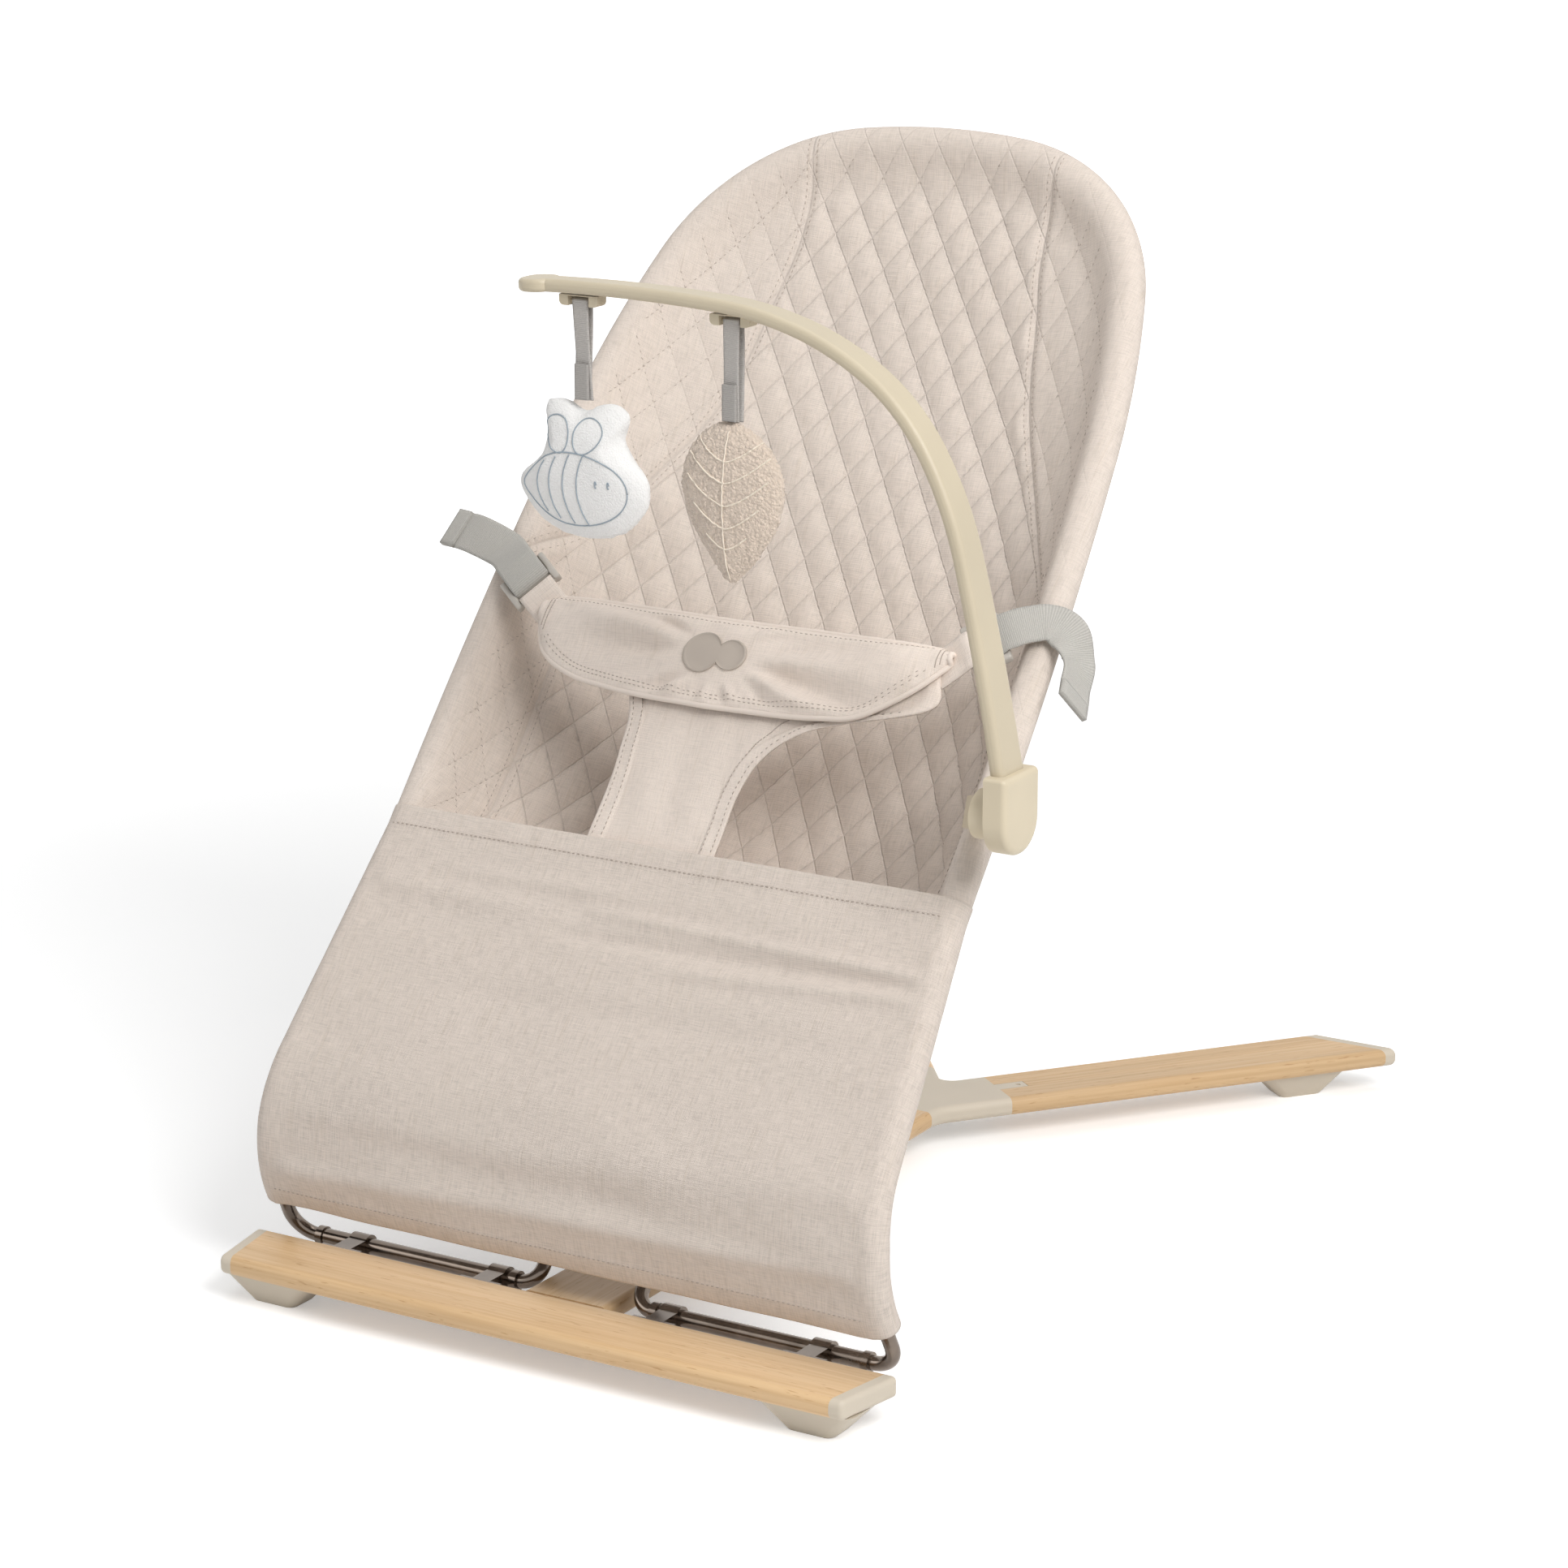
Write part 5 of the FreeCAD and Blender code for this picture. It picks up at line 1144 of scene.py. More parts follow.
def build_patch():
    """A bare moulded patch of two merged discs with a raised rim, lying on the flap."""
    angles = np.linspace(0, 2 * math.pi, 120, endpoint=False)
    discs = ((-0.011, 0.0130), (0.009, 0.0098))
    heading = np.stack([np.cos(angles), np.sin(angles)], axis=1)
    reach = np.zeros(len(angles))
    for cx, radius in discs:
        along_it = heading[:, 0] * cx
        inside = radius ** 2 - cx ** 2 + along_it ** 2
        reach = np.maximum(reach, np.where(inside > 0, along_it + np.sqrt(np.clip(inside, 0, None)), 0))
    for _ in range(3):
        reach = (np.roll(reach, 1) + reach * 2 + np.roll(reach, -1)) / 4
    rings = ((1.0, -0.0006), (1.0, 0.0007), (0.975, 0.0013), (0.93, 0.0014), (0.905, 0.0010), (0.88, 0.0007),
             (0.6, 0.0008), (0.3, 0.0009), (0.05, 0.0009))
    verts, faces = [], []
    for share, height in rings:
        flat = heading * (reach * share)[:, None]
        x, u = flat[:, 0] + PATCH_X, flat[:, 1] + PATCH_U
        low, high = flap_edges(x)
        here, n = surface_frame(flap_surface, x, (u - low) / (high - low))
        verts.append(here + n * height)
    count = len(angles)
    for k in range(len(rings) - 1):
        for i in range(count):
            j = (i + 1) % count
            faces.append((k * count + i, k * count + j, (k + 1) * count + j, (k + 1) * count + i))
    faces.append(tuple(range(count))[::-1])
    faces.append(tuple(range((len(rings) - 1) * count, len(rings) * count)))
    patch = add_mesh("flap_patch_rubber", np.concatenate(verts), [f for f in faces if len(f) == 4])
    bm = bmesh.new()
    bm.from_mesh(patch.data)
    bmesh.ops.holes_fill(bm, edges=[e for e in bm.edges if e.is_boundary])
    bmesh.ops.recalc_face_normals(bm, faces=bm.faces)
    bm.to_mesh(patch.data)
    bm.free()
    paint(patch, finish_of("patch"))
    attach(patch, "seat")
    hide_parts("flap_patch")


# ---- webbing -------------------------------------------------------------------------------------
def side_strap(side):
    """Middle of the slider, the way the web runs over the rail, and the heading across the web."""
    middle = seat_points(side * SLIDER_X, SLIDER_U, -STRAP_LIFT)
    over_rail = seat_points(side * float(np.interp(WEB_CROSS_U, RAIL_TABLE_U, RAIL_TABLE_X)), WEB_CROSS_U,
                            -STRAP_LIFT)
    run = unit(over_rail - middle)
    return middle, run, unit(np.cross(run, BEHIND))


def build_webs():
    rail_x = float(np.interp(WEB_CROSS_U, RAIL_TABLE_U, RAIL_TABLE_X))
    for side, tag in ((-1, "left"), (1, "right")):
        middle, run, across = side_strap(side)
        stations = [(middle - run * 0.0006 + BEHIND * 0.0042, across), (middle - run * 0.0030, across),
                    (middle + run * 0.0006 - BEHIND * 0.0038, across),
                    (middle + run * 0.0103 - BEHIND * 0.0036, across),
                    (middle + run * 0.0180 - BEHIND * 0.0030, across)]
        if side < 0:
            stations += [(seat_points(-rail_x - 0.003, 0.421, -0.0112), across),
                         (seat_points(-rail_x - 0.026, 0.4275, -0.0135), unit(across + BEHIND * 0.10)),
                         (seat_points(-rail_x - 0.046, 0.431, -0.0100), unit(across + BEHIND * 0.05))]
        else:
            lean = ALONG + BEHIND * 0.5
            stations += [(seat_points(rail_x + 0.004, WEB_CROSS_U, -0.0118), across),
                         (seat_points(rail_x + 0.0165, 0.4165, -0.0060), ALONG),
                         (seat_points(rail_x + 0.0235, 0.404, 0.0010), lean),
                         (seat_points(rail_x + 0.0275, 0.388, 0.0000), ALONG * 0.75 + BEHIND * 0.8),
                         (seat_points(rail_x + 0.0320, 0.374, -0.0040), ALONG * 0.6 + BEHIND)]
        web = strap("side_web_%s_tape" % tag, stations, WEB_WIDTH, WEB_THICKNESS, 90, 13)
        end, before = np.array(stations[-1][0]), np.array(stations[-2][0])
        back = unit(before - end)
        hem = strap("hem", [(end + back * 0.0105, stations[-1][1]), (end + back * 0.005, stations[-1][1]),
                            (end - back * 0.0004, stations[-1][1])], WEB_WIDTH + 0.0004,
                            WEB_THICKNESS + 0.0016, 8, 9)
        face = unit(np.cross(back, unit(np.array(stations[-1][1], float))))
        if face[1] > 0:
            face = -face
        hem.data.transform(matrix_move(face * 0.0008))
        web = join(web.name, [web, hem])
        paint(web, finish_of("web"))
        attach(web, "seat")
        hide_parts("side_web_" + tag)


def matrix_move(offset):
    return Matrix.Translation(Vector([float(c) for c in offset]))


def build_sliders():
    """Ladder-lock sliders: two rounded side rails and three cross bars, with the flap's cloth tab through
    each.
    """
    for side, tag in ((-1, "left"), (1, "right")):
        middle, run, across = side_strap(side)
        up = unit(np.cross(run, across))
        axes = (run, across, up)
        parts = []
        for b in (-0.0145, 0.0145):
            parts.append(bar(middle + across * b, axes, (0.0120, 0.0021, 0.0028), 0.0013))
        for a, half, lift in ((-0.0103, 0.0017, 0.0), (0.0, 0.0019, -0.0006), (0.0103, 0.0017, 0.0)):
            parts.append(bar(middle + run * a + up * lift, axes, (half, 0.0150, 0.0020), 0.0012))
        tab = strap("flap_tab_" + tag, [
            (middle - run * 0.0070 + BEHIND * 0.0030, across), (middle - run * 0.0056, across),
            (middle - run * 0.0080 - BEHIND * 0.0034, across),
            (middle - run * 0.0125 - BEHIND * 0.0033, across),
            (middle - run * 0.0200 - BEHIND * 0.0004, across),
            (middle - run * 0.0340 + BEHIND * 0.0036, across)],
            0.024, 0.0013, 60, 9)
        paint(tab, finish_of("flap"))
        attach(tab, "seat")
        slider = join("strap_slider_%s_frame" % tag, parts)
        paint(slider, finish_of("slider"))
        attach(slider, "seat")
        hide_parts("strap_slider_" + tag)


def build_loop_sleeve():
    """The cloth loop on the sling's back that holds the top of the support loop."""
    low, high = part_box("loop_channel")
    middle = (np.array(low) + np.array(high)) / 2
    stations = []
    for angle in np.radians(np.linspace(-150, 150, 13)):
        stations.append((middle + (BEHIND * math.cos(angle) + ALONG * math.sin(angle)) * 0.0056, ACROSS))
    ends = [(middle + ALONG * (sign * 0.012) - BEHIND * 0.0058, ACROSS) for sign in (-1, 1)]
    sleeve = strap("loop_sleeve_cloth", [ends[0]] + stations + [ends[1]], 0.0155, 0.0010, 70, 9)
    paint(sleeve, finish_of("lining"))
    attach(sleeve, "seat")
    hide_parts("loop_channel")


# ---- toys ----------------------------------------------------------------------------------------
def toy_frame(node):
    """Middle, and half sizes of a toy from its CAD box: across, deep, high."""
    low, high = (np.array(corner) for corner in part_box(node))
    return (low + high) / 2, (high - low) / 2


def closed_outline(points, count=160):
    """An evenly spaced closed Catmull-Rom line through points."""
    p = np.asarray(points, float)
    out = []
    for k in range(len(p)):
        a, b, c, d = p[k - 1], p[k], p[(k + 1) % len(p)], p[(k + 2) % len(p)]
        for t in np.linspace(0, 1, 20, endpoint=False):
            out.append(0.5 * (2 * b + (c - a) * t + (2 * a - 5 * b + 4 * c - d) * t * t
                              + (3 * b - a - 3 * c + d) * t ** 3))
    return even(np.array(out + [out[0]]), count + 1)[:-1]


def stuffed(name, outline, middle, thickness, rings=26):
    """A stuffed toy body: an outline in x and z whose middle swells to thickness."""
    core = np.array([outline[:, 0].mean(), outline[:, 1].mean()])
    verts, faces, count = [], [], len(outline)
    for face_side in (-1, 1):
        for k in range(rings):
            share = 1 - k / rings
            flat = core + (outline - core) * share
            swell = thickness / 2 * (1 - share ** 2.6) ** 0.62
            for x, z in flat:
                verts.append((middle[0] + x, middle[1] + face_side * swell, middle[2] + z))
        verts.append((middle[0] + core[0], middle[1] + face_side * thickness / 2, middle[2] + core[1]))
    half = rings * count + 1
    for base in (0, half):
        for k in range(rings - 1):
            for i in range(count):
                j = (i + 1) % count
                faces.append((base + k * count + i, base + k * count + j,
                              base + (k + 1) * count + j, base + (k + 1) * count + i))
        for i in range(count):
            faces.append((base + (rings - 1) * count + i, base + (rings - 1) * count + (i + 1) % count,
                          base + half - 1))
    verts = np.array(verts)
    mesh = bpy.data.meshes.new(name)
    mesh.from_pydata([tuple(v) for v in verts], [], faces)
    made = bpy.data.objects.new(name, mesh)
    bpy.context.scene.collection.objects.link(made)
    point_outwards(made)
    return made


def puff_up(toy, voxel, pressure, cap, keep_box):
    """Cloth simulation of a stuffed body under inner pressure, applied to its mesh."""
    bpy.ops.object.select_all(action="DESELECT")
    toy.select_set(True)
    bpy.context.view_layer.objects.active = toy
    remesh = toy.modifiers.new("even", "REMESH")
    remesh.mode = "VOXEL"
    remesh.voxel_size = voxel
    bpy.ops.object.modifier_apply(modifier=remesh.name)
    before = np.zeros(len(toy.data.vertices) * 3)
    toy.data.vertices.foreach_get("co", before)
    cloth = toy.modifiers.new("puff", "CLOTH")
    cloth.settings.use_pressure = True
    cloth.settings.uniform_pressure_force = pressure
    cloth.settings.effector_weights.gravity = 0
    cloth.settings.quality = 6
    cloth.settings.tension_stiffness = 20
    cloth.settings.compression_stiffness = 20
    cloth.point_cache.frame_start, cloth.point_cache.frame_end = 1, 20
    for frame_number in range(1, 21):
        bpy.context.scene.frame_set(frame_number)
    graph = bpy.context.evaluated_depsgraph_get()
    puffed = bpy.data.meshes.new_from_object(toy.evaluated_get(graph))
    after = np.zeros(len(puffed.vertices) * 3)
    puffed.vertices.foreach_get("co", after)
    toy.modifiers.clear()
    bpy.data.meshes.remove(puffed)
    bpy.context.scene.frame_set(1)
    move = (after - before).reshape(-1, 3)
    size = np.linalg.norm(move, axis=1, keepdims=True)
    move *= np.minimum(1, cap / np.maximum(size, 1e-9))
    before = (before.reshape(-1, 3) + move).ravel()
    place = before.reshape(-1, 3)
    low, high = keep_box
    now_low, now_high = place.min(axis=0), place.max(axis=0)
    place = (place - now_low) / (now_high - now_low) * (high - low) + low
    toy.data.vertices.foreach_set("co", place.ravel())
    finer = toy.modifiers.new("finer", "SUBSURF")
    finer.levels = finer.render_levels = 1
    bpy.ops.object.modifier_apply(modifier=finer.name)
    toy.data.update()
    toy.data.shade_smooth()


def roughen(toy, scale, height, seed):
    """Lifts the surface in small soft clumps, as terry or plush does."""
    count = len(toy.data.vertices)
    co = np.zeros(count * 3)
    normal = np.zeros(count * 3)
    toy.data.vertices.foreach_get("co", co)
    toy.data.vertices.foreach_get("normal", normal)
    co, normal = co.reshape(-1, 3), normal.reshape(-1, 3)
    co = co + normal * (wander(co, scale, seed) * height)[:, None]
    toy.data.vertices.foreach_set("co", co.ravel())
    toy.data.update()


def front_of(toy, points, lift):
    """Places on a toy's front face straight behind points in x and z."""
    tree = BVHTree.FromPolygons([v.co for v in toy.data.vertices], [p.vertices for p in toy.data.polygons])
    found = []
    for x, z in points:
        spot, n, _, _ = tree.ray_cast(Vector((x, -1.0, z)), Vector((0, 1, 0)))
        if spot is not None:
            found.append(spot + n * lift)
    return np.array(found)


def sew_lines(name, toy, lines, radius, key, body):
    """Embroidered lines on a toy's front, each a thin thread lying on the cloth."""
    made = []
    for points in lines:
        path = front_of(toy, points, radius * 0.35)
        if len(path) > 3:
            made.append(tube("line", path, radius, 6, False, 0.8, (0.0, -1.0, 0.0)))
    thread = join(name, made)
    paint(thread, finish_of(key))
    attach(thread, body)


def build_bee():
    middle, half = toy_frame("bee_toy")
    w, h = half[0], half[2]
    outline = closed_outline([(px * w, pz * h) for px, pz in (
        (-0.56, 0.90), (-0.30, 0.99), (0.04, 0.90), (0.42, 0.99), (0.70, 0.84), (0.68, 0.50), (0.80, 0.20),
        (0.99, -0.14), (0.94, -0.52), (0.58, -0.88), (0.02, -1.0), (-0.56, -0.84), (-0.90, -0.50),
        (-0.98, -0.22), (-0.70, 0.18), (-0.58, 0.54))])
    bee = stuffed("bee_plush_body", outline * 0.95, middle, 2 * half[1] * 0.80)
    puff_up(bee, 0.0028, 3.0, 0.006, (middle - half, middle + half))
    roughen(bee, 0.0032, 0.00018, 3)
    paint(bee, finish_of("bee"))
    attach(bee, "bee")
    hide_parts("bee_toy")

    def at(points):
        return even(np.asarray(points, float) * (w, h) + (middle[0], middle[2]), 70)
    turn = np.linspace(0, 2 * math.pi, 60)
    hull = []
    for t in turn:
        x, z = 0.82 * math.cos(t) - 0.05, 0.54 * math.sin(t) - 0.25
        if x < -0.05:
            z = (z + 0.25) * (1 - 0.55 * (abs(x + 0.05) / 0.82) ** 3) - 0.25
        hull.append((x, z))
    lines = [at(hull)]
    for center, lean in ((-0.27, 0.30), (0.20, -0.45)):
        loop = []
        for t in np.linspace(0, 2 * math.pi, 50):
            x, z = 0.20 * math.sin(t) * (1 + 0.2 * math.cos(t)), 0.27 * math.cos(t)
            loop.append((center + x * math.cos(lean) - z * math.sin(lean),
                         0.53 + x * math.sin(lean) + z * math.cos(lean)))
        lines.append(at(loop))
    for x0, reach in ((-0.52, 0.38), (-0.32, 0.46), (-0.10, 0.51), (0.12, 0.52)):
        lines.append(at([(x0 - 0.13 * (1 - (2 * t - 1) ** 2) + 0.05, -0.25 + reach * (2 * t - 1))
                         for t in np.linspace(0, 1, 30)]))
    for x0 in (0.34, 0.52):
        lines.append(at([(x0 + 0.012 * math.cos(t), -0.14 + 0.045 * math.sin(t)) for t in turn[:50]]))
    sew_lines("bee_stitched_lines", bee, lines, 0.00042, "bee_thread", "bee")


def build_leaf():
    middle, half = toy_frame("leaf_toy")
    w, h = half[0], half[2]
    outline = closed_outline([
        (-0.10 * w, 0.99 * h), (0.34 * w, 0.90 * h), (0.80 * w, 0.62 * h), (0.99 * w, 0.22 * h),
        (0.86 * w, -0.26 * h), (0.50 * w, -0.66 * h), (0.18 * w, -0.90 * h), (-0.02 * w, -1.0 * h),
        (-0.20 * w, -0.92 * h), (-0.50 * w, -0.64 * h), (-0.86 * w, -0.22 * h), (-0.99 * w, 0.22 * h),
        (-0.86 * w, 0.58 * h), (-0.52 * w, 0.86 * h)])
    leaf = stuffed("leaf_terry_body", outline * 0.95, middle, 2 * half[1] * 0.80)
    puff_up(leaf, 0.0024, 3.0, 0.005, (middle - half, middle + half))
    roughen(leaf, 0.0016, 0.0010, 5)
    roughen(leaf, 0.0034, 0.0005, 9)
    paint(leaf, finish_of("leaf"))
    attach(leaf, "leaf")
    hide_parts("leaf_toy")

    def at(points):
        return even(np.asarray(points, float) * (w, h) + (middle[0], middle[2]), 60)
    lines = [at([(0.0 - 0.04 * math.sin(3 * t), 0.90 - 1.84 * t) for t in np.linspace(0, 1, 40)])]
    for z0, reach in ((0.56, 0.64), (0.30, 0.78), (0.02, 0.80), (-0.26, 0.64), (-0.52, 0.40)):
        for side in (-1, 1):
            lines.append(at([(side * reach * t, z0 - 0.02 + 0.34 * t ** 1.5 * (reach / 0.8)) for t in
                             np.linspace(0, 1, 30)]))
    sew_lines("leaf_stitched_veins", leaf, lines, 0.0005, "leaf_thread", "leaf")


RIBBON_WIDTH, RIBBON_THICKNESS = 0.0105, 0.0007
TAB_WIDTH, TAB_THICKNESS, TAB_LENGTH = 0.0088, 0.0019, 0.0205


def build_ribbons():
    """Each toy's ribbon goes round its hanger bar and down to the toy, with a doubled end sewn flat."""
    for name, lean in (("bee", -1.0), ("leaf", 1.0)):
        low, high = (np.array(corner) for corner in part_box(name + "_ribbon"))
        x, y = (low[0] + high[0]) / 2, (low[1] + high[1]) / 2
        top, bottom = high[2], low[2]
        reach = 0.0027
        bar_z = top - reach
        front = [(np.array((x, y - reach * math.cos(a), bar_z + reach * math.sin(a))), ACROSS)
                 for a in np.linspace(0, math.pi, 7)]
        down = [(np.array((x + lean * 0.0006 * t, y + (1 - t) * 0.0024 + 0.0007,
                           bar_z - t * (bar_z - bottom))),
                 unit(ACROSS + np.array((0, 0.10 * math.sin(3 * t), 0.0)))) for t in (0.25, 0.5, 0.75, 1.0)]
        rise = [(np.array((x - lean * 0.0016 * t, y - (1 - t) * 0.0024 - 0.0007,
                           bar_z - t * (bar_z - bottom))),
                 unit(ACROSS - np.array((0, 0.16 * math.sin(3 * t), 0.0)))) for t in (1.0, 0.75, 0.5, 0.25)]
        tape = strap(name + "_ribbon_tape", rise + front + down, RIBBON_WIDTH, RIBBON_THICKNESS, 90, 9)
        paint(tape, finish_of("ribbon"))
        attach(tape, name)
        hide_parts(name + "_ribbon")
        z0 = bottom + 0.021
        tab = strap(name + "_ribbon_tab", [((x - lean * 0.0010, y - 0.0022, z0 - t * TAB_LENGTH), ACROSS)
                                           for t in (0.0, 0.35, 0.7, 1.0)], TAB_WIDTH, TAB_THICKNESS, 24, 9)
        paint(tab, finish_of("ribbon_tab"))
        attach(tab, name)
        ring = [(-0.0031, -0.002), (0.0031, -0.002), (0.0031, -0.0095), (-0.0031, -0.0095),
                (-0.0031, -0.002)]
        line = even(np.array(ring), 15)
        places = np.array([(x - lean * 0.0010 + a, y - 0.0023, z0 + b) for a, b in line])
        thread = stitches(name + "_ribbon_stitches", places, np.gradient(places, axis=0),
                          np.tile((0.0, -1.0, 0.0), (len(places), 1)), finish_of("thread"), 0.0016, 0.0004)
        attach(thread, name)


# ---- carried-over nodes --------------------------------------------------------------------------
NODE_FINISH = (
    ("front_bar_cap", "plastic"), ("front_bar", "beech_bar"), ("spine_dowels", "beech_spine"),
    ("spine", "beech_spine"),
    ("rear_leg_right", "beech_right"), ("rear_leg_left", "beech_left"),
    ("toy_bar_pin", "screw"), ("toy_bar_arch", "toy_bar"), ("toy_bar", "socket"), ("toy_hanger", "toy_bar"),
    ("foot_screws", "screw"), ("clip_screws", "screw"),
    ("outer_rail", "rod"), ("support_loop", "rod"), ("pivot_tube", "rod"), ("tube_c", "rod"),
    ("leg_insert", "rod"), ("release_button", "plastic"),
)


def finish_nodes():
    """Gives every CAD node that stays in view its material."""
    for name in frame["nodes"]:
        node = bpy.data.objects.get(name)
        if node is None:
            raise RuntimeError("no object for node " + name)
        key = next((finish for start, finish in NODE_FINISH if name.startswith(start)), "plastic")
        paint(node, finish_of(key))


# ---- camera, light and floor ---------------------------------------------------------------------
def area_light(name, place, target, size, power, color=(1.0, 1.0, 1.0)):
    data = bpy.data.lights.new(name, "AREA")
    data.shape = "DISK"
    data.size = size
    data.energy = power
    data.color = color
    made = bpy.data.objects.new(name, data)
    made.location = place
    made.rotation_euler = (Vector(target) - Vector(place)).to_track_quat("-Z", "Y").to_euler()
    bpy.context.scene.collection.objects.link(made)


def seen_only(tree):
    """1 for rays from the camera or off gloss and glass, 0 for the light that falls on things."""
    path = tree.nodes.new("ShaderNodeLightPath")
    first = tree.nodes.new("ShaderNodeMath")
    first.operation = "MAXIMUM"
    second = tree.nodes.new("ShaderNodeMath")
    second.operation = "MAXIMUM"
    tree.links.new(path.outputs["Is Camera Ray"], first.inputs[0])
    tree.links.new(path.outputs["Is Glossy Ray"], first.inputs[1])
    tree.links.new(first.outputs[0], second.inputs[0])
    tree.links.new(path.outputs["Is Transmission Ray"], second.inputs[1])
    return second.outputs[0]


def build_stage():
    """Camera, pale floor, soft studio light and a white world behind."""
    scene = bpy.context.scene
    look = scene.bouncer_stage
    data = bpy.data.cameras.new("camera")
    data.lens = look.lens
    data.sensor_width = 36.0
    data.clip_end = 50.0
    camera = bpy.data.objects.new("camera", data)
    camera.location = look.camera_place
    camera.rotation_euler = (math.pi / 2 - look.camera_pitch, 0.0, look.camera_yaw)
    scene.collection.objects.link(camera)
    scene.camera = camera

    floor = add_mesh("studio_floor", [(-30, -30, 0), (30, -30, 0), (30, 30, 0), (-30, 30, 0)],
                     [(0, 1, 2, 3)],
                     smooth_shade=False)
    white = material("studio_white", (0.93, 0.93, 0.93), 0.9)
    glow = white.node_tree.nodes.new("ShaderNodeMath")
    glow.operation = "MULTIPLY"
    spread = white.node_tree.nodes.new("ShaderNodeVectorMath")
    spread.operation = "LENGTH"
    where = white.node_tree.nodes.new("ShaderNodeTexCoord")
    white.node_tree.links.new(where.outputs["Object"], spread.inputs[0])
    far = white.node_tree.nodes.new("ShaderNodeMapRange")
    far.interpolation_type = "SMOOTHSTEP"
    far.inputs["From Min"].default_value = 0.75
    far.inputs["From Max"].default_value = 2.4
    far.inputs["To Min"].default_value = look.floor_glow
    far.inputs["To Max"].default_value = 1.0
    white.node_tree.links.new(spread.outputs["Value"], far.inputs["Value"])
    white.node_tree.links.new(seen_only(white.node_tree), glow.inputs[0])
    white.node_tree.links.new(far.outputs["Result"], glow.inputs[1])
    shader = white.node_tree.nodes["Principled BSDF"]
    shader.inputs["Emission Color"].default_value = (1.0, 1.0, 1.0, 1.0)
    white.node_tree.links.new(glow.outputs[0], shader.inputs["Emission Strength"])
    paint(floor, white)

    area_light("key_from_right", (1.95, -1.05, 2.10), (0.0, 0.0, 0.3), 1.5, look.key_power)
    area_light("fill_from_left", (-2.2, -1.7, 1.4), (0.0, 0.0, 0.3), 2.0, look.fill_power)
    area_light("top", (0.1, 0.1, 3.0), (0.0, 0.0, 0.0), 2.6, look.top_power)

    world = bpy.data.worlds.new("studio")
    scene.world = world
    world.use_nodes = True
    tree = world.node_tree
    background = tree.nodes["Background"]
    background.inputs["Color"].default_value = (1.0, 1.0, 1.0, 1.0)
    lift = tree.nodes.new("ShaderNodeMix")
    lift.data_type = "FLOAT"
    lift.inputs[2].default_value = look.world_light
    lift.inputs[3].default_value = 1.0
    tree.links.new(seen_only(tree), lift.inputs[0])
    tree.links.new(lift.outputs[0], background.inputs["Strength"])
    scene.view_settings.view_transform = "Standard"


# ---- the add-on ----------------------------------------------------------------------------------
def colour(name, text, value):
    return bpy.props.FloatVectorProperty(name=name, description=text, subtype="COLOR", size=3, min=0, max=1,
                                         default=value)


class BouncerColours(bpy.types.PropertyGroup):
    """Colours of the bouncer seat's finishes."""

    sling: colour("Sling", "Quilted seat fabric", (0.70, 0.615, 0.545))
    front_sheet: colour("Front sheet", "Plain sheet over the front of the frame", (0.655, 0.575, 0.51))
    flap: colour("Flap", "Waist flap and crotch strap", (0.77, 0.677, 0.603))
    thread: colour("Thread", "Sewing thread", (0.43, 0.365, 0.315))
    wood: colour("Beech", "Front bar, spine and rear legs", (0.69, 0.475, 0.262))
    plastic: colour("Ivory plastic", "Feet, caps and hub", (0.62, 0.548, 0.445))
    toy_bar: colour("Toy bar", "Toy bar, socket and clamp", (0.56, 0.485, 0.355))
    rod: colour("Rods", "Plated steel rods", (0.22, 0.18, 0.15))
    web: colour("Webbing", "Waist strap webbing", (0.52, 0.50, 0.46))
    ribbon: colour("Ribbon", "Toy ribbons", (0.56, 0.53, 0.50))
    slider: colour("Slider", "Strap sliders", (0.47, 0.435, 0.39))
    patch: colour("Patch", "Bare patch on the flap", (0.46, 0.40, 0.345))
    bee: colour("Bee", "Plush of the bee", (0.88, 0.87, 0.855))
    leaf: colour("Leaf", "Terry of the leaf", (0.84, 0.70, 0.58))


class BouncerStage(bpy.types.PropertyGroup):
    """Camera and light."""

    camera_place: bpy.props.FloatVectorProperty(
        name="Camera place", description="Where the camera stands", subtype="TRANSLATION", unit="LENGTH",
        size=3,
        default=(1.3381, -2.2831, 0.9870))
    camera_yaw: bpy.props.FloatProperty(name="Camera yaw", description="Turn about the vertical",
                                        subtype="ANGLE",
                                        default=math.radians(31.06))
    camera_pitch: bpy.props.FloatProperty(name="Camera pitch", description="How far it looks down",
                                          subtype="ANGLE", default=math.radians(15.31))
    lens: bpy.props.FloatProperty(name="Lens", description="Focal length", unit="CAMERA", default=102.6)
    key_power: bpy.props.FloatProperty(name="Key light", description="Large soft light on the right",
                                       unit="POWER", default=58.0)
    fill_power: bpy.props.FloatProperty(name="Fill light", description="Soft light on the left",
                                        unit="POWER",
                                        default=13.0)
    top_power: bpy.props.FloatProperty(name="Top light", description="Soft light above", unit="POWER",
                                       default=24.0)
    world_light: bpy.props.FloatProperty(name="Room light", description="Even light from all sides",
                                         default=0.26)
    floor_glow: bpy.props.FloatProperty(name="Floor glow", description="Added to the floor as it is seen",
                                        default=0.32)


class BOUNCER_OT_stage(bpy.types.Operator):
    """Make the camera, the floor and the lights"""

    bl_idname = "bouncer.stage"
    bl_label = "Stage"

    def execute(self, context):
        build_stage()
        return {"FINISHED"}


class BOUNCER_OT_nodes(bpy.types.Operator):
    """Give the wood, plastic and steel pieces their materials"""

    bl_idname = "bouncer.nodes"
    bl_label = "Wood, plastic and steel"

    def execute(self, context):
        finish_nodes()
        return {"FINISHED"}


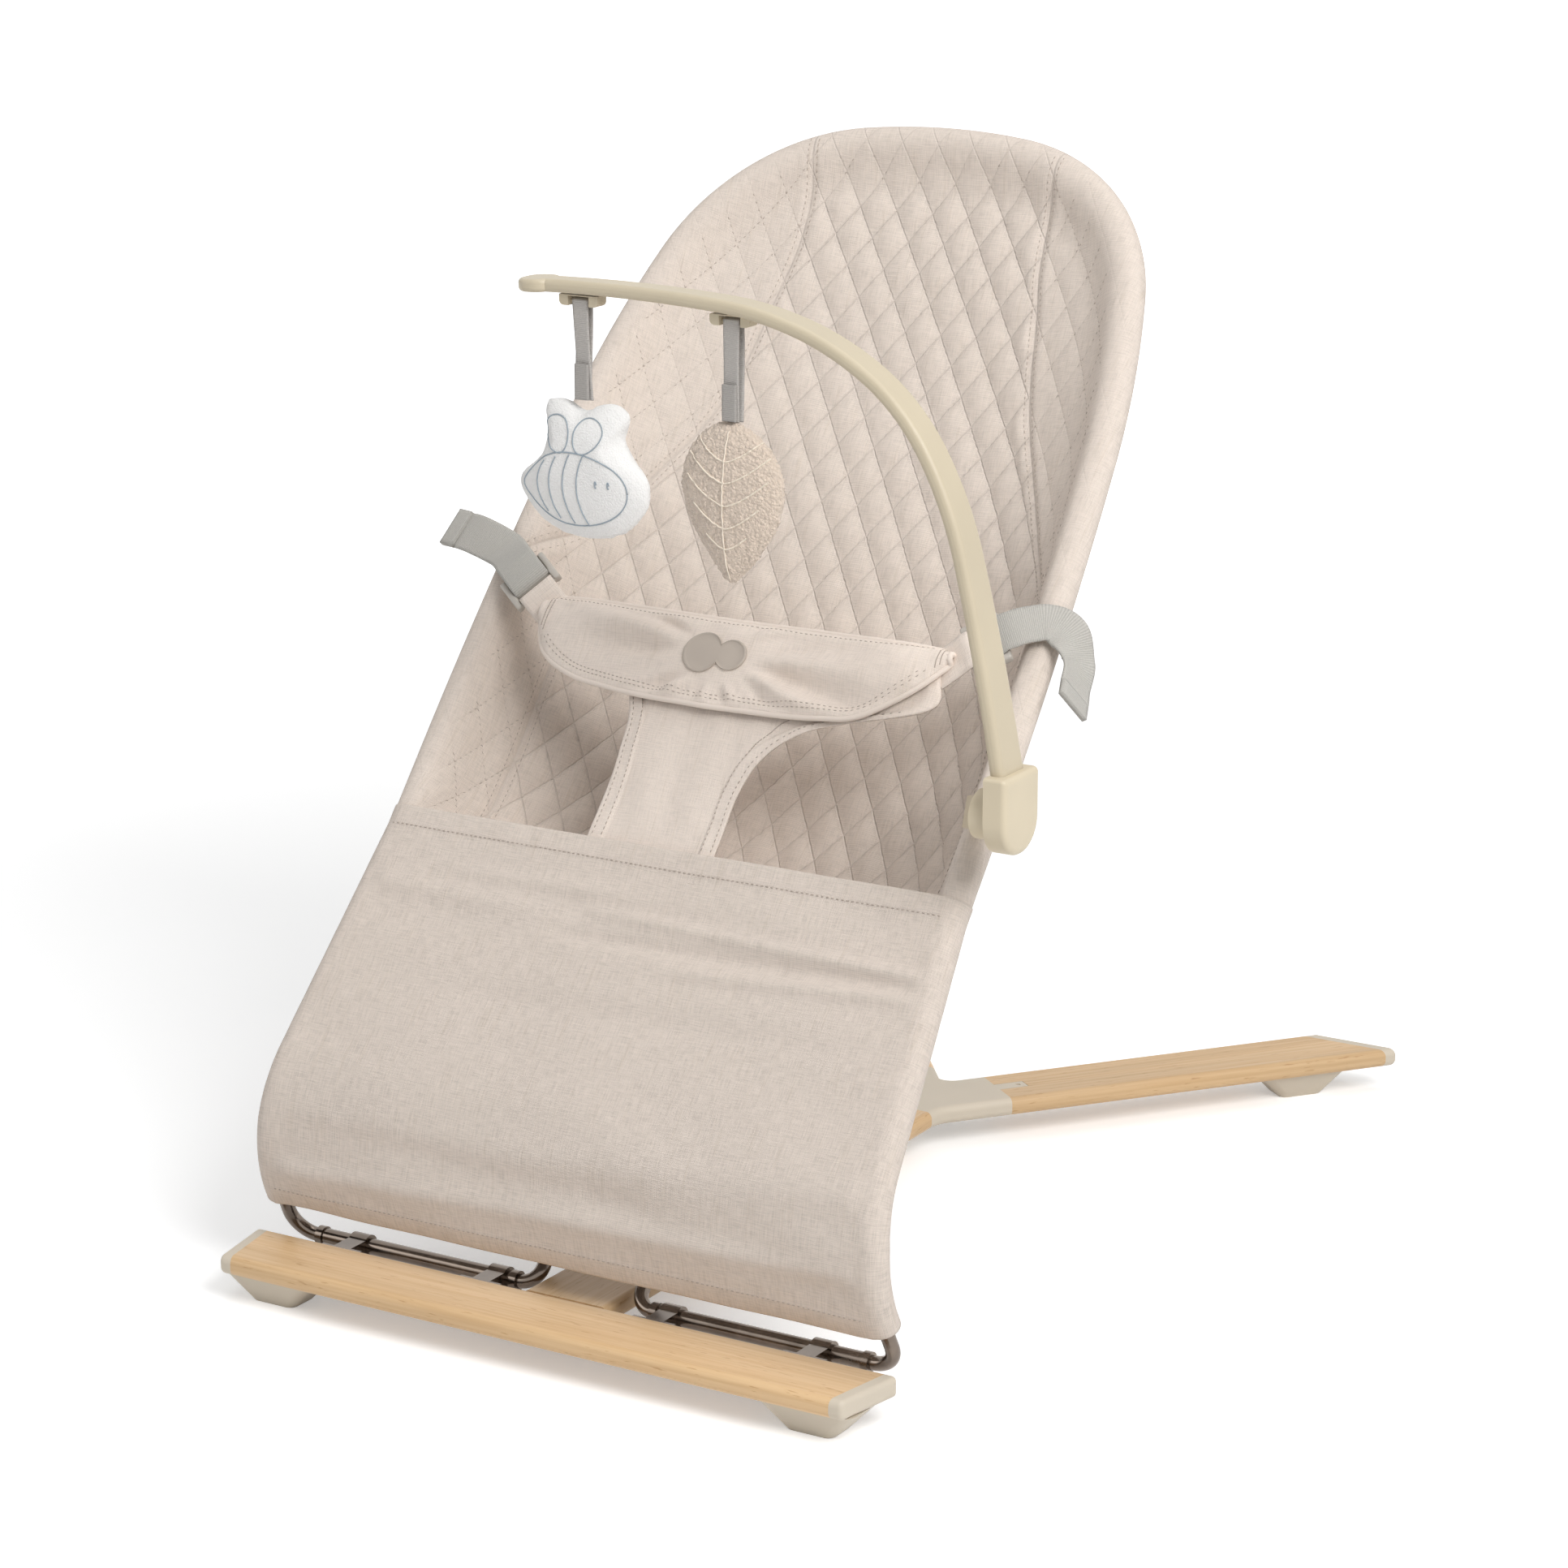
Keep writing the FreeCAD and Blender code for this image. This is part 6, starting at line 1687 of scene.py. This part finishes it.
class BOUNCER_OT_sling(bpy.types.Operator):
    """Make the quilted sling and its stitches"""

    bl_idname = "bouncer.sling"
    bl_label = "Quilted sling"

    def execute(self, context):
        sling = build_sling()
        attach(sling, "seat")
        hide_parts("seat_shell", "rail_cover")
        thread = sling_stitches()
        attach(thread, "seat")
        build_loop_sleeve()
        return {"FINISHED"}


class BOUNCER_OT_front_sheet(bpy.types.Operator):
    """Make the sheet over the front of the frame"""

    bl_idname = "bouncer.front_sheet"
    bl_label = "Front sheet"

    def execute(self, context):
        build_front_sheet()
        return {"FINISHED"}


class BOUNCER_OT_restraint(bpy.types.Operator):
    """Make the waist flap, its patch and the crotch strap"""

    bl_idname = "bouncer.restraint"
    bl_label = "Waist flap and crotch strap"

    def execute(self, context):
        build_flap()
        build_patch()
        build_crotch_strap()
        return {"FINISHED"}


class BOUNCER_OT_webbing(bpy.types.Operator):
    """Make the side webs and their sliders"""

    bl_idname = "bouncer.webbing"
    bl_label = "Webs and sliders"

    def execute(self, context):
        build_webs()
        build_sliders()
        return {"FINISHED"}


class BOUNCER_OT_toys(bpy.types.Operator):
    """Make the plush bee, the terry leaf and their ribbons"""

    bl_idname = "bouncer.toys"
    bl_label = "Toys"

    def execute(self, context):
        build_bee()
        build_leaf()
        build_ribbons()
        return {"FINISHED"}


OPERATORS = (BOUNCER_OT_stage, BOUNCER_OT_nodes, BOUNCER_OT_sling, BOUNCER_OT_front_sheet,
             BOUNCER_OT_restraint,
             BOUNCER_OT_webbing, BOUNCER_OT_toys)


class BOUNCER_PT_panel(bpy.types.Panel):
    """Bouncer seat builder"""

    bl_label = "Bouncer seat"
    bl_space_type = "VIEW_3D"
    bl_region_type = "UI"
    bl_category = "Bouncer"

    def draw(self, context):
        for operator in OPERATORS:
            self.layout.operator(operator.bl_idname)
        for group in (context.scene.bouncer_colours, context.scene.bouncer_stage):
            for name in group.__annotations__:
                self.layout.prop(group, name)


CLASSES = (BouncerColours, BouncerStage) + OPERATORS + (BOUNCER_PT_panel,)


def register():
    for cls in CLASSES:
        bpy.utils.register_class(cls)
    bpy.types.Scene.bouncer_colours = bpy.props.PointerProperty(type=BouncerColours)
    bpy.types.Scene.bouncer_stage = bpy.props.PointerProperty(type=BouncerStage)


def unregister():
    del bpy.types.Scene.bouncer_stage
    del bpy.types.Scene.bouncer_colours
    for cls in reversed(CLASSES):
        bpy.utils.unregister_class(cls)


def main():
    register()
    for operator in OPERATORS:
        group, name = operator.bl_idname.split(".")
        getattr(getattr(bpy.ops, group), name)()


if __name__ == "__main__":
    main()
